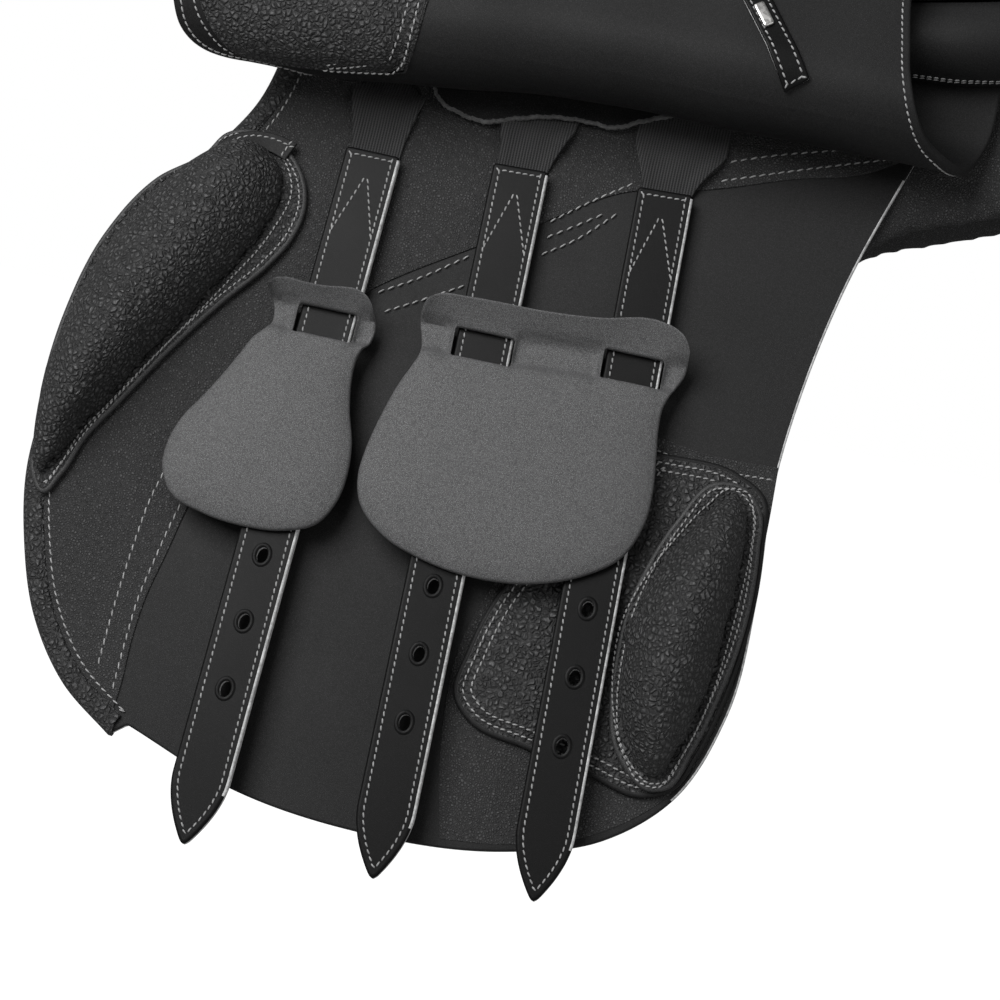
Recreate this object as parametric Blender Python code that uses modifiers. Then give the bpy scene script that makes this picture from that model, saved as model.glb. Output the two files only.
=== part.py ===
"""All-purpose riding saddle with both outer flaps folded up, showing the girth straps.

Metres, +Z up, +X towards the cantle, -Y the near (left) side. The origin is the top
of the horse's back under the lowest point of the seat. Outlines of the hanging
leather are written in millimetres as (along, down): along runs towards the cantle,
down runs down the slope of the sweat flap's face from the level of its web slot.
A third entry marks a sharp corner. Heights stand off that face, outwards.
"""

from math import cos, pi, radians, sin, tan

import bmesh
import bpy
from mathutils import Matrix, Vector

MM = 0.001

# Fits
GAP = 0.0003
LINING_GAP = 0.0006
WELD = 0.00001

# Where the hanging leather lies
FLAP_LEAN = radians(16)
FACE_HALF_WIDTH = 0.128
FACE_Z = -0.055

# Seat and tree
SEAT_THICKNESS = 0.016
SEAT_EDGE_THICKNESS = 0.006
SEAT_CROWN_POWER = 2.4
TREE_THICKNESS = 0.007
TREE_SPREAD = 0.88
CANTLE_DEPTH = 0.036
CANTLE_START = 0.165
CANTLE_FULL = 0.212
TREE_TURN_IN = 0.9
HEAD_PLATE_THICKNESS = 0.004
HEAD_PLATE_ROWS = slice(2, 5)
POINT_LENGTH = 0.052
POINT_FRONT = -0.206
POINT_MIDDLE = -0.160
POINT_REAR = -0.135
RAIL_DOWN = -0.074
RAIL_REAR = -0.040
RAIL_EASE_FRONT = 0.012
RAIL_EASE_REAR = 0.040
# steps out and down from the tree's top to its rail, and from the rail to its point
RAIL_STEP = (0.004, 0.004)
POINT_STEP = (0.002, 0.006)
# along, height of the middle, half width, height of the edge
SEAT_LINE = (
    (-222, 103, 28, 88), (-212, 111, 48, 76), (-190, 107, 68, 62), (-150, 89, 86, 49),
    (-100, 71, 96, 41), (-50, 62, 104, 37), (0, 59, 118, 34), (50, 61, 131, 34),
    (100, 69, 139, 41), (150, 86, 136, 58), (190, 110, 118, 86), (215, 131, 88, 114),
    (230, 144, 52, 136), (236, 147, 26, 144),
)
SEAT_STEP = 0.022
SEAT_SHARES = (0, 0.3, 0.55, 0.75, TREE_SPREAD, 0.96, 1)

# Panels
CHANNEL_HALF_WIDTH = 0.032
PANEL_TOP = 0.062
PANEL_CLEAR = 0.011
PANEL_DEPTH = 0.036
PANEL_EDGE = 0.010
PANEL_SOFTNESS = 1
PANEL_STEP = 0.030
PANEL_FACE_TOP = -0.060
PANEL_LEAST_FACE = 0.030
PANEL_SHOULDER_IN = 0.012
PANEL_LEAST_REACH = 0.020
PANEL_TOP_SHARES = (0, 0.5, 1)
PANEL_FACE_SHARES = (0, 0.35, 0.7, 1)
PANEL_SWELL_END = 0.35
PANEL_TURN_START = radians(88)
PANEL_TURN_SPEED = 1.6
PANEL_SLOPE = radians(20)
PANEL_FREE_FROM = 0.125
WEB_CLEAR = 0.0006
# room for the tree's points and rails behind the face
POCKET_CLEAR = 0.004
POCKET_DOWN = 0.002
POCKET_REAR = -0.100
POCKET_RAIL_REAR = -0.020
POCKET_LEAST = 0.010
POCKET_EASE = 0.3
# along, down to the lower edge, drawn in from the face
PANEL_LINE = (
    (-203, 4, 13), (-190, 52, 0), (-165, 108, 0), (-130, 165, 0), (-90, 192, 0),
    (-45, 194, 0), (0, 160, 0), (40, 92, 0), (75, 34, 0), (110, 11, 0), (136, 2, -2),
    (160, -8, -4), (190, -26, 10), (222, -52, 30), (244, -78, 46), (252, -92, 55),
)

# Sweat flap
SWEAT_THICKNESS = 0.004
SWEAT_OUTLINE = (
    (-186, -56, 1), (-188, -20), (-194, 14), (-212, 47), (-239, 98), (-251, 158),
    (-252, 206), (-245, 234), (-231, 267), (-212, 291), (-186, 309, 1), (-180, 304, 1),
    (-127, 321), (-73, 326), (-9, 320), (31, 306), (56, 283), (71, 243), (73, 190),
    (70, 140), (74, 90), (82, 45), (99, -14), (106, -36), (108, -46, 1),
)
SLOT_OUTLINE = (
    (-156, 8, 1), (-156, 0), (-151, -8), (-137, -12), (-124, -8), (-119, 0), (-119, 8, 1),
)
BINDING_RADIUS = 0.0032
BINDING_IN = 1.6
BINDING_FIRST = 1
BINDING_LAST = 10

# Knee block
KNEE_FLANGE = 0.0032
KNEE_HEIGHT = 0.033
KNEE_OUTLINE = (
    (-212, 45), (-205, 34), (-193, 30), (-181, 33), (-171, 40), (-164, 50), (-161, 62),
    (-163, 76), (-171, 92), (-186, 112), (-203, 138), (-220, 168), (-230, 186),
    (-236, 204), (-243, 214), (-249, 208), (-253, 190), (-256, 165), (-255, 130),
    (-247, 92), (-231, 62),
)
# along and down of the crown line, half width before it, half width behind it, height
KNEE_RIDGE = (
    (-194, 35, 4, 4, 0.1), (-193, 42, 15, 15, 0.5), (-195, 54, 25, 24, 0.8),
    (-202, 76, 33, 27, 0.95), (-212, 102, 34, 24, 1.0), (-223, 130, 30, 19, 1.0),
    (-233, 157, 23, 14, 0.92), (-240, 180, 15, 9, 0.72), (-244, 198, 8, 5, 0.42),
    (-246, 208, 3, 2, 0.08),
)

# Thigh block and its base pad
BASE_THICKNESS = 0.0035
BASE_OUTLINE = (
    (17, 137, 1), (54, 139), (66, 146), (70, 165), (72, 190), (71, 215), (68, 238),
    (62, 262), (54, 279), (44, 284), (18, 280), (-10, 275), (-36, 269), (-44, 261),
    (-43, 239), (-34, 208), (-14, 176), (8, 150),
)
THIGH_FLANGE = 0.003
THIGH_HEIGHT = 0.030
THIGH_OUTLINE = (
    (46, 144), (57, 144), (66, 152), (69.5, 170), (71, 190), (70, 214), (66, 238),
    (60, 262), (52, 280), (44, 282), (34, 276), (26, 266), (20.5, 248), (18.6, 228),
    (19, 208), (23, 188), (31, 166),
)
THIGH_RIDGE = (
    (55, 148, 3, 3, 0.1), (54, 156, 9, 8, 0.5), (51, 171, 15, 13, 0.78),
    (47, 192, 21, 17, 0.95), (43, 214, 23, 20, 1.0), (41, 236, 20, 20, 1.0),
    (41, 255, 15, 16, 0.82), (43, 270, 9, 9, 0.5), (45, 278, 3, 3, 0.1),
)
RIDGE_SIDES = 8
RIDGE_FULLNESS = 0.8
RIDGE_SUNK = 0.001

# Girth straps and their webs
STRAP_WIDTH = 0.025
STRAP_THICKNESS = 0.005
STRAP_STANDOFF = 0.0026
STRAP_TIP = 0.026
HOLE_COUNT = 5
HOLE_PITCH = 0.030
HOLE_HALF_WIDTH = 0.002
HOLE_HALF_LENGTH = 0.0033
HOLE_SIDES = 8
WEB_THICKNESS = 0.0016
WEB_OVERLAP = 0.014
STRAP_LEAN_OUT = radians(1.6)
FRONT_HINGE_DOWN = 0.010
REAR_HINGE_DOWN = 0.008
# middle and down at the top, turn about the face, length, last hole from the tip
STRAPS = {
    "girth_strap_1": (-137, 30, -0.6, 0.315, 0.064),
    "girth_strap_2": (-70.5, 23, 2.0, 0.318, 0.063),
    "girth_strap_3": (-5, 20, 2.4, 0.315, 0.062),
}
# half width and middle of each web at its hinge
WEB_TOPS = {
    "girth_web_1": (15, -138),
    "girth_web_2": (17, -70),
    "girth_web_3": (19, -4),
}
WEB_ROOT_TOP = 0.056
WEB_SLOT = (-0.004, 0.005)
WEB_FORK = -12
WEB_SPARE = 0.6
STRAP_POINT_WIDE = 0.72
STRAP_POINT_LOW = 2

# Buckle guards
GUARD_THICKNESS = 0.0028
GUARD_CROWN = 0.004
GUARD_LIP_LIFT = 0.0035
WINDOW_HEIGHT = 0.0115
WINDOW_CLEAR = 0.0008
BRIDGE_THICKNESS = 0.0016
BRIDGE_TALL = 0.0092
POST_WIDE = 0.004
POST_TALL = 0.0088
POST_SUNK = 0.001
SMALL_GUARD_OUTLINE = (
    (-163, 95), (-158, 92), (-141, 91.5), (-125, 91), (-120, 96), (-118, 106), (-120, 118),
    (-121, 132), (-118, 150), (-112.5, 170), (-111.5, 186), (-117, 202), (-128, 209),
    (-150, 211), (-170, 209), (-184, 204), (-191, 193), (-190, 172), (-178, 146),
    (-166, 126), (-163, 112),
)
LARGE_GUARD_OUTLINE = (
    (-97, 92), (-92, 87), (-60, 85), (-20, 82.5), (8, 79), (17, 83), (21, 92), (20, 106),
    (16, 119), (17, 136), (19, 154), (19, 171), (12, 189), (-2, 200), (-22, 208),
    (-46, 211), (-72, 208), (-91, 201), (-102.5, 190), (-106.5, 173), (-103.5, 152),
    (-98.5, 128), (-97, 110),
)
# top of each strap's window in its guard
WINDOW_DOWN = {"girth_strap_1": 105, "girth_strap_2": 101.4, "girth_strap_3": 98}
GUARD_LIP_CURL = 1.5
GUARD_LIP_ABOVE = 0.002
GUARD_WAIST_BELOW = 0.004
GUARD_FULLNESS = 0.9
GUARD_CUTS = 6
GUARD_CUT_STEP = 0.020

# Outer flap
FLAP_THICKNESS = 0.0042
FLAP_STANDOFF = 0.006
FLAP_TOP_DOWN = -0.058
FOLD_DOWN = -0.020
BEND_LENGTH = 0.026
BEND_TURN = radians(60)
LEAF_LEAN_IN = radians(6)
# how far the lowered pieces turn back past straight
BACK_TURNS = (radians(10), radians(33))
# front and rear edge of the flap at the top, at each fold and where the leaf begins
FLAP_EDGES = ((-172, 131), (-172, 113), (-171, 110), (-171, 107))
FLAP_REAR_HOLLOW = 5
# the leaf, (along, distance from its fold)
LEAF_OUTLINE = (
    (-171, 0, 1), (-186, 3), (-204, 7), (-217, 17), (-228, 33), (-243, 66), (-256, 110),
    (-264, 160), (-266, 206), (-256, 252), (-234, 290), (-196, 312), (-130, 323),
    (-50, 326), (20, 316), (60, 292), (80, 252), (87, 204), (84, 150), (83, 100),
    (86, 60), (92, 32), (102, 12), (107, 0, 1),
)
PATCH_THICKNESS = 0.0022
PATCH_OUTLINE = (
    (-190, 12), (-206, 19), (-216, 34), (-231, 68), (-244, 112), (-251, 160), (-252, 204),
    (-243, 245), (-222, 276), (-196, 280), (-170, 262), (-146, 222), (-130, 170),
    (-121, 110), (-119, 50), (-121, 20), (-128, 9), (-160, 8),
)

# Keeper strap on the underside of the flap
KEEPER_THICKNESS = 0.0022
KEEPER_WIDTH = 0.011
KEEPER_START = (48, 26)
KEEPER_END = (8, 84)
KEEPER_PLATE_AT = 0.62
PLATE_SIZE = (0.006, 0.013, 0.0012)

# Covering tongue over the rear webs
TONGUE_THICKNESS = 0.0022
TONGUE_OUTLINE = (
    (-122, -54, 1), (-120, -10), (-114, 0), (-104, 4), (-92, 5.5), (-78, 1), (-62, -3),
    (-46, -4), (-34, -4), (-22, -10), (-8, -16), (12, -22), (26, -54, 1),
)

# Skirt
SKIRT_THICKNESS = 0.0034
# along, down to the lower edge, height of that edge off the sweat flap
SKIRT_LINE = (
    (-174, -65, 28), (-170, -61, 29), (-158, -53, 31), (-135, -46, 32), (-100, -43, 31),
    (-50, -44, 28), (0, -46, 24), (60, -47, 20), (110, -52, 17), (140, -60, 13), (158, -74, 6),
)
SKIRT_BULGE = 0.012
SKIRT_TUCK = 0.0005
SKIRT_STEP = 0.026
SKIRT_SHARES = (0, 0.2, 0.45, 0.7, 0.88, 1)
# how much further the skirt starts below the seat for each metre off its axis
SKIRT_DROP = 0.18
# ends of the straight line that the skirt turns about: along, half width, level
SKIRT_AXIS = ((-150, 86, 40), (100, 139, 31))

# Stirrup bar, its catch and the front dee
BAR_FRONT = -0.148
BAR_REAR = -0.092
BAR_DOWN = -0.047
LEATHER_SPACE = 0.0065
BAR_RADIUS = 0.0038
BAR_ROOT_HEIGHT = 0.014
BAR_ROOT_THICKNESS = 0.003
BAR_ROOT_DOWN = -0.067
BAR_ROOT_SPARE = 0.012
BAR_CORNER = 1.2
CATCH_LENGTH = 0.017
CATCH_WIDTH = 0.007
CATCH_DEPTH = 0.0056
DEE_HALF = 0.0125
DEE_WIRE = 0.0018
DEE_DROP = 0.019
DEE_AT = (-0.1875, -0.036)
DEE_FULLNESS = 0.8
CHAPE_SIZE = (0.010, 0.022, 0.0072)
CHAPE_CLEAR = 0.0003

SEGMENTS = 16
SHARP = radians(40)
LEAST_STATIONS = 8
EVEN_SHARE = 0.45

LEATHER = (0.028, 0.027, 0.028, 1)
SMOOTH_LEATHER = (0.020, 0.020, 0.021, 1)
GREY_LEATHER = (0.13, 0.13, 0.135, 1)
SUEDE = (0.16, 0.16, 0.16, 1)
WEBBING = (0.012, 0.012, 0.013, 1)
STEEL = (0.72, 0.72, 0.74, 1)
MOULDING = (0.05, 0.05, 0.052, 1)


def new_material(name, colour, roughness, metallic=0.0):
    """Principled material with one colour."""
    material = bpy.data.materials.new(name)
    material.use_nodes = True
    shader = material.node_tree.nodes["Principled BSDF"]
    shader.inputs["Base Color"].default_value = colour
    shader.inputs["Roughness"].default_value = roughness
    shader.inputs["Metallic"].default_value = metallic
    material.diffuse_color = colour
    return material


def clear_scene():
    """Start from nothing."""
    for item in list(bpy.data.objects):
        bpy.data.objects.remove(item, do_unlink=True)


def new_object(name, mesh, material):
    """Object in the saddle's collection."""
    item = bpy.data.objects.new(name, mesh)
    item.data.materials.append(material)
    PARTS.objects.link(item)
    return item


def scratch_object(name, data):
    """Object that is measured or joined and then removed."""
    item = bpy.data.objects.new(name, data)
    CUTTERS.objects.link(item)
    item.hide_render = True
    item.display_type = "WIRE"
    return item


def side_matrix():
    """Near side's frame: along, up the slope and outwards."""
    along = Vector((1, 0, 0))
    up = Vector((0, sin(FLAP_LEAN), cos(FLAP_LEAN)))
    out = Vector((0, -cos(FLAP_LEAN), sin(FLAP_LEAN)))
    frame = Matrix((along, up, out)).transposed().to_4x4()
    frame.translation = Vector((0, -FACE_HALF_WIDTH, FACE_Z))
    return frame


def on_face(down, height):
    """Half width and level of a point off the sweat flap's face."""
    half = FACE_HALF_WIDTH + down * sin(FLAP_LEAN) + height * cos(FLAP_LEAN)
    level = FACE_Z - down * cos(FLAP_LEAN) + height * sin(FLAP_LEAN)
    return half, level


def row_at(table, x):
    """Values of a table at one place along the saddle, on a smooth curve."""
    rows = [[value * MM for value in row] for row in table]
    x = min(max(x, rows[0][0]), rows[-1][0])
    last = len(rows) - 2
    k = 0
    while k < last and x > rows[k + 1][0]:
        k += 1
    before, here = rows[max(k - 1, 0)], rows[k]
    after, beyond = rows[k + 1], rows[min(k + 2, last + 1)]
    span = after[0] - here[0]
    f = (x - here[0]) / span
    values = []
    for column in range(1, len(here)):
        rise_in = (after[column] - before[column]) / (after[0] - before[0]) * span
        rise_out = (beyond[column] - here[column]) / (beyond[0] - here[0]) * span
        blend = f * f * (3 - 2 * f)
        value = here[column] * (1 - blend) + after[column] * blend
        value += rise_in * f * (1 - f) ** 2 - rise_out * f * f * (1 - f)
        values.append(value)
    return values


def stations(table, step):
    """Places along a table, closer near its ends."""
    start, end = table[0][0] * MM, table[-1][0] * MM
    count = max(LEAST_STATIONS, round((end - start) / step))
    places = []
    for k in range(count + 1):
        f = k / count
        eased = EVEN_SHARE * f + (1 - EVEN_SHARE) * (1 - cos(pi * f)) / 2
        places.append(start + (end - start) * eased)
    return places


def shell(name, upper, lower, material, split=True):
    """Closed body between two grids of points, its quads split alike if asked."""
    bm = bmesh.new()
    top = [[bm.verts.new(point) for point in row] for row in upper]
    bottom = [[bm.verts.new(point) for point in row] for row in lower]
    rows, columns = len(top), len(top[0])
    for i in range(rows - 1):
        for j in range(columns - 1):
            for grid in (top, bottom):
                corners = (grid[i][j], grid[i + 1][j], grid[i + 1][j + 1], grid[i][j + 1])
                if split:
                    bm.faces.new(corners[:3])
                    bm.faces.new((corners[0], corners[2], corners[3]))
                else:
                    bm.faces.new(corners)
    for i in range(rows - 1):
        for j in (0, columns - 1):
            bm.faces.new((top[i][j], bottom[i][j], bottom[i + 1][j], top[i + 1][j]))
    for j in range(columns - 1):
        for i in (0, rows - 1):
            bm.faces.new((top[i][j], top[i][j + 1], bottom[i][j + 1], bottom[i][j]))
    bmesh.ops.recalc_face_normals(bm, faces=bm.faces)
    mesh = bpy.data.meshes.new(name)
    bm.to_mesh(mesh)
    bm.free()
    mesh.shade_smooth()
    mesh.set_sharp_from_angle(angle=SHARP)
    return new_object(name, mesh, material)


def outline_curve(name, loops, thickness, lift, steps):
    """Flat curve filled between closed outlines in millimetres, (along, down)."""
    data = bpy.data.curves.new(name, "CURVE")
    data.dimensions = "2D"
    data.fill_mode = "BOTH"
    data.resolution_u = steps
    data.extrude = thickness / 2
    for loop in loops:
        spline = data.splines.new("BEZIER")
        spline.bezier_points.add(len(loop) - 1)
        spline.use_cyclic_u = True
        for point, knot in zip(spline.bezier_points, loop):
            point.co = (knot[0] * MM, -knot[1] * MM, 0)
            kind = "VECTOR" if len(knot) > 2 else "AUTO"
            point.handle_left_type = kind
            point.handle_right_type = kind
    item = scratch_object(name + "_outline", data)
    item.location.z = lift + thickness / 2
    return item


def mesh_of(item):
    """Mesh of an evaluated object in the frame it was drawn in, caps welded."""
    bpy.context.view_layer.update()
    evaluated = item.evaluated_get(bpy.context.evaluated_depsgraph_get())
    mesh = bpy.data.meshes.new_from_object(evaluated)
    mesh.transform(item.matrix_world)
    bpy.data.objects.remove(item, do_unlink=True)
    bm = bmesh.new()
    bm.from_mesh(mesh)
    bmesh.ops.remove_doubles(bm, verts=bm.verts, dist=WELD)
    bmesh.ops.recalc_face_normals(bm, faces=bm.faces)
    bm.to_mesh(mesh)
    bm.free()
    return mesh


def plate_mesh(name, loops, thickness, lift, steps=2):
    """Mesh of a flat piece of leather."""
    return mesh_of(outline_curve(name, loops, thickness, lift, steps))


def joined(name, base, others):
    """Union of overlapping meshes."""
    target = scratch_object(name + "_base", base)
    for k, mesh in enumerate(others):
        cutter = scratch_object(f"{name}_add_{k}", mesh)
        modifier = target.modifiers.new("join", "BOOLEAN")
        modifier.operation = "UNION"
        modifier.solver = "EXACT"
        modifier.object = cutter
    bpy.context.view_layer.update()
    mesh = mesh_of(target)
    for item in list(CUTTERS.objects):
        if item.name.startswith(name + "_add_"):
            bpy.data.objects.remove(item, do_unlink=True)
    return mesh


def curved(mesh, cuts_along, cuts_down, height):
    """Cut a plate along lines and lift its points by a height of (along, down)."""
    bm = bmesh.new()
    bm.from_mesh(mesh)
    for place in cuts_along:
        geometry = bm.verts[:] + bm.edges[:] + bm.faces[:]
        bmesh.ops.bisect_plane(bm, geom=geometry, dist=WELD, plane_co=(place, 0, 0), plane_no=(1, 0, 0))
    for place in cuts_down:
        geometry = bm.verts[:] + bm.edges[:] + bm.faces[:]
        bmesh.ops.bisect_plane(bm, geom=geometry, dist=WELD, plane_co=(0, -place, 0), plane_no=(0, 1, 0))
    for vert in bm.verts:
        vert.co.z += height(vert.co.x, -vert.co.y)
    bmesh.ops.triangulate(bm, faces=bm.faces)
    bm.to_mesh(mesh)
    bm.free()
    return mesh


def placed(name, mesh, material, pivot=(0, 0, 0)):
    """Piece of the near side, its origin on the pivot given in the side's frame."""
    pivot = Vector(pivot)
    mesh.transform(Matrix.Translation(-pivot))
    item = new_object(name, mesh, material)
    item.matrix_world = side_matrix() @ Matrix.Translation(pivot)
    return item


def tube_mesh(name, points, radius, sides=2, closed=False):
    """Round bar along straight runs in the side's frame."""
    data = bpy.data.curves.new(name, "CURVE")
    data.dimensions = "3D"
    data.bevel_depth = radius
    data.bevel_resolution = sides
    data.use_fill_caps = True
    spline = data.splines.new("POLY")
    spline.points.add(len(points) - 1)
    spline.use_cyclic_u = closed
    for point, place in zip(spline.points, points):
        point.co = (*place, 1)
    return mesh_of(scratch_object(name + "_tube", data))


def disc_mesh(name, radius, depth, matrix):
    """Plain cylinder placed by a matrix."""
    bm = bmesh.new()
    bmesh.ops.create_cone(
        bm, cap_ends=True, segments=SEGMENTS, radius1=radius, radius2=radius, depth=depth, matrix=matrix,
    )
    mesh = bpy.data.meshes.new(name)
    bm.to_mesh(mesh)
    bm.free()
    return mesh


def box_mesh(name, size, centre):
    """Plain box in the side's frame."""
    bm = bmesh.new()
    bmesh.ops.create_cube(bm, size=1)
    bmesh.ops.scale(bm, vec=size, verts=bm.verts)
    bmesh.ops.translate(bm, vec=centre, verts=bm.verts)
    mesh = bpy.data.meshes.new(name)
    bm.to_mesh(mesh)
    bm.free()
    return mesh


def seat_height(x, half):
    """Level of the seat's top at one place."""
    middle, edge, low = row_at(SEAT_LINE, x)
    share = min(abs(half) / edge, 1)
    return middle - (middle - low) * share ** SEAT_CROWN_POWER


def build_seat(material):
    """Padded seat, thick in the middle and thin at its sewn edge."""
    upper, lower = [], []
    shares = [-share for share in reversed(SEAT_SHARES[1:])] + list(SEAT_SHARES)
    for x in stations(SEAT_LINE, SEAT_STEP):
        edge = row_at(SEAT_LINE, x)[1]
        upper.append([Vector((x, share * edge, seat_height(x, share * edge))) for share in shares])
        row = []
        for point, share in zip(upper[-1], shares):
            inside = abs(share) <= TREE_SPREAD + WELD
            depth = SEAT_THICKNESS if inside else SEAT_EDGE_THICKNESS
            row.append(point - Vector((0, 0, depth)))
        lower.append(row)
    return shell("seat", upper, lower, material)


def point_share(x):
    """How much of the tree's point reaches down here."""
    if x < POINT_FRONT or x > POINT_REAR:
        return 0
    return min(1, (POINT_REAR - x) / (POINT_REAR - POINT_MIDDLE))


def rail_share(x):
    """How much of the rail that carries the stirrup bar reaches out here."""
    if x < POINT_FRONT or x > RAIL_REAR:
        return 0
    return min(1, (x - POINT_FRONT) / RAIL_EASE_FRONT, (RAIL_REAR - x) / RAIL_EASE_REAR)


def web_depth():
    """Depth behind the face that the flap and the web behind it need."""
    return SWEAT_THICKNESS + WEB_THICKNESS + GAP + WEB_CLEAR


def tree_depth(x):
    """Depth of the tree below its top, more in the block of the cantle."""
    share = min(max((x - CANTLE_START) / (CANTLE_FULL - CANTLE_START), 0), 1)
    return TREE_THICKNESS + CANTLE_DEPTH * share * share * (3 - 2 * share)


def tree_row(x, sign):
    """Top of the tree on one side, from the middle outwards."""
    edge = row_at(SEAT_LINE, x)[1]
    drop = SEAT_THICKNESS + LINING_GAP
    row = []
    for share in SEAT_SHARES:
        if share <= TREE_SPREAD:
            row.append(Vector((share * edge, seat_height(x, share * edge) - drop)))
    short = row[-1] + Vector((RAIL_STEP[0], -RAIL_STEP[1]))
    rail = short.lerp(Vector(on_face(RAIL_DOWN, -web_depth())), rail_share(x))
    short = rail + Vector((POINT_STEP[0], -POINT_STEP[1]))
    tip = short.lerp(Vector(on_face(RAIL_DOWN + POINT_LENGTH, -web_depth())), point_share(x))
    row += [rail, tip]
    return [Vector((x, sign * half, level)) for half, level in row]


def tree_line(x):
    """Top of the tree from one side to the other."""
    return tree_row(x, -1)[:0:-1] + tree_row(x, 1)


def below_line(line, depth):
    """A line moved down by a depth in the middle and more and more inwards at its sides."""
    count = (len(line) - 1) // 2
    below = []
    for k, point in enumerate(line):
        inwards = Vector((0, -point.y, 0)).normalized() * abs(k - count) / count * TREE_TURN_IN
        below.append(point + (inwards + Vector((0, 0, -1))).normalized() * depth)
    return below


def build_tree(material):
    """Moulded tree: arched head with two points, rails and a dished cantle."""
    upper, lower = [], []
    for x in stations(SEAT_LINE, SEAT_STEP)[1:-1]:
        line = tree_line(x)
        extra = Vector((0, 0, TREE_THICKNESS - tree_depth(x)))
        upper.append(line)
        lower.append([point + extra for point in below_line(line, TREE_THICKNESS)])
    return shell("tree", upper, lower, material)


def build_head_plate(material):
    """Steel arch riveted under the head of the tree."""
    upper, lower = [], []
    for x in stations(SEAT_LINE, SEAT_STEP)[HEAD_PLATE_ROWS]:
        line = tree_line(x)
        upper.append(below_line(line, TREE_THICKNESS + LINING_GAP)[2:-2])
        lower.append(below_line(line, TREE_THICKNESS + LINING_GAP + HEAD_PLATE_THICKNESS)[2:-2])
    return shell("head_plate", upper, lower, material)


def panel_face(x, down):
    """Places down the outer side of the panel, each with its depth behind the face."""
    top = min(PANEL_FACE_TOP, down - PANEL_LEAST_FACE)
    close = SWEAT_THICKNESS + LINING_GAP
    pocket = web_depth() + TREE_THICKNESS + POCKET_CLEAR
    if x < POCKET_REAR:
        end = min(down - POCKET_LEAST, POCKET_DOWN)
        return [(top, pocket), (end, pocket), (end + (down - end) * POCKET_EASE, close), (down, close)]
    places = [(top + (down - top) * share, close) for share in PANEL_FACE_SHARES]
    if x < POCKET_RAIL_REAR:
        places[0] = (top, pocket)
    return places


def panel_rows(x):
    """Outer and horse side of the near panel's section."""
    down, inset = row_at(PANEL_LINE, x)
    if x < PANEL_FREE_FROM:
        inset = max(inset, 0)
    edge = row_at(SEAT_LINE, x)[1]
    under = SEAT_THICKNESS + LINING_GAP + tree_depth(x) + PANEL_CLEAR
    reach = max(TREE_SPREAD * edge - PANEL_SHOULDER_IN, CHANNEL_HALF_WIDTH + PANEL_LEAST_REACH)
    outer = []
    for share in PANEL_TOP_SHARES:
        half = CHANNEL_HALF_WIDTH + (reach - CHANNEL_HALF_WIDTH) * share
        outer.append((half, min(seat_height(x, half) - under, PANEL_TOP)))
    outer += [on_face(place, -deep - inset) for place, deep in panel_face(x, down)]
    inner = []
    count = len(outer) - 1
    for k, (half, level) in enumerate(outer):
        f = k / count
        turn = PANEL_TURN_START - (PANEL_TURN_START - PANEL_SLOPE) * min(1, f * PANEL_TURN_SPEED)
        thin = max(0, (f - PANEL_SWELL_END) / (1 - PANEL_SWELL_END))
        depth = PANEL_DEPTH + (PANEL_EDGE - PANEL_DEPTH) * thin
        least = CHANNEL_HALF_WIDTH + k * PANEL_EDGE / 3
        inner.append((max(least, half - cos(turn) * depth), level - sin(turn) * depth))
    return outer, inner


def build_panel(material):
    """Flocked cushion between the tree and the horse, down behind the sweat flap."""
    upper, lower = [], []
    for x in stations(PANEL_LINE, PANEL_STEP):
        outer, inner = panel_rows(x)
        upper.append([Vector((x, -half, level)) for half, level in outer])
        lower.append([Vector((x, -half, level)) for half, level in inner])
    item = shell("panel_L", upper, lower, material, split=False)
    soften = item.modifiers.new("soften", "SUBSURF")
    soften.levels = PANEL_SOFTNESS
    soften.render_levels = PANEL_SOFTNESS


def sweat_flap(material):
    """Sweat flap with its web slot and the rolled binding of its front edge."""
    plate = plate_mesh("sweat_flap", (SWEAT_OUTLINE, SLOT_OUTLINE), SWEAT_THICKNESS, -SWEAT_THICKNESS)
    roll = []
    for knot in SWEAT_OUTLINE[BINDING_FIRST:BINDING_LAST]:
        roll.append(((knot[0] + BINDING_IN) * MM, -knot[1] * MM, -SWEAT_THICKNESS / 2))
    binding = tube_mesh("binding", roll, BINDING_RADIUS)
    return placed("sweat_flap_L", joined("sweat_flap", plate, [binding]), material)


def ridge_mesh(name, ridge, base, height):
    """Domed cushion along a crown line, round at both ends."""
    bm = bmesh.new()
    rings = []
    for k, (along, down, before, behind, share) in enumerate(ridge):
        ahead = ridge[min(k + 1, len(ridge) - 1)]
        back = ridge[max(k - 1, 0)]
        run = Vector((ahead[0] - back[0], back[1] - ahead[1], 0)).normalized()
        side = Vector((-run.y, run.x, 0))
        ring = []
        for j in range(RIDGE_SIDES + 1):
            angle = pi * j / RIDGE_SIDES
            reach = (before if j * 2 < RIDGE_SIDES else behind) * MM
            point = Vector((along * MM, -down * MM, base))
            point -= side * cos(angle) * reach
            point.z += height * share * sin(angle) ** RIDGE_FULLNESS
            ring.append(point)
        ring += [Vector((spot.x, spot.y, base - RIDGE_SUNK)) for spot in (ring[-1], ring[0])]
        rings.append([bm.verts.new(point) for point in ring])
    size = len(rings[0])
    for here, there in zip(rings, rings[1:]):
        for j in range(size):
            bm.faces.new((here[j], here[(j + 1) % size], there[(j + 1) % size], there[j]))
    bm.faces.new(rings[0][::-1])
    bm.faces.new(rings[-1])
    bmesh.ops.triangulate(bm, faces=bm.faces)
    bmesh.ops.recalc_face_normals(bm, faces=bm.faces)
    mesh = bpy.data.meshes.new(name)
    bm.to_mesh(mesh)
    bm.free()
    return mesh


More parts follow.
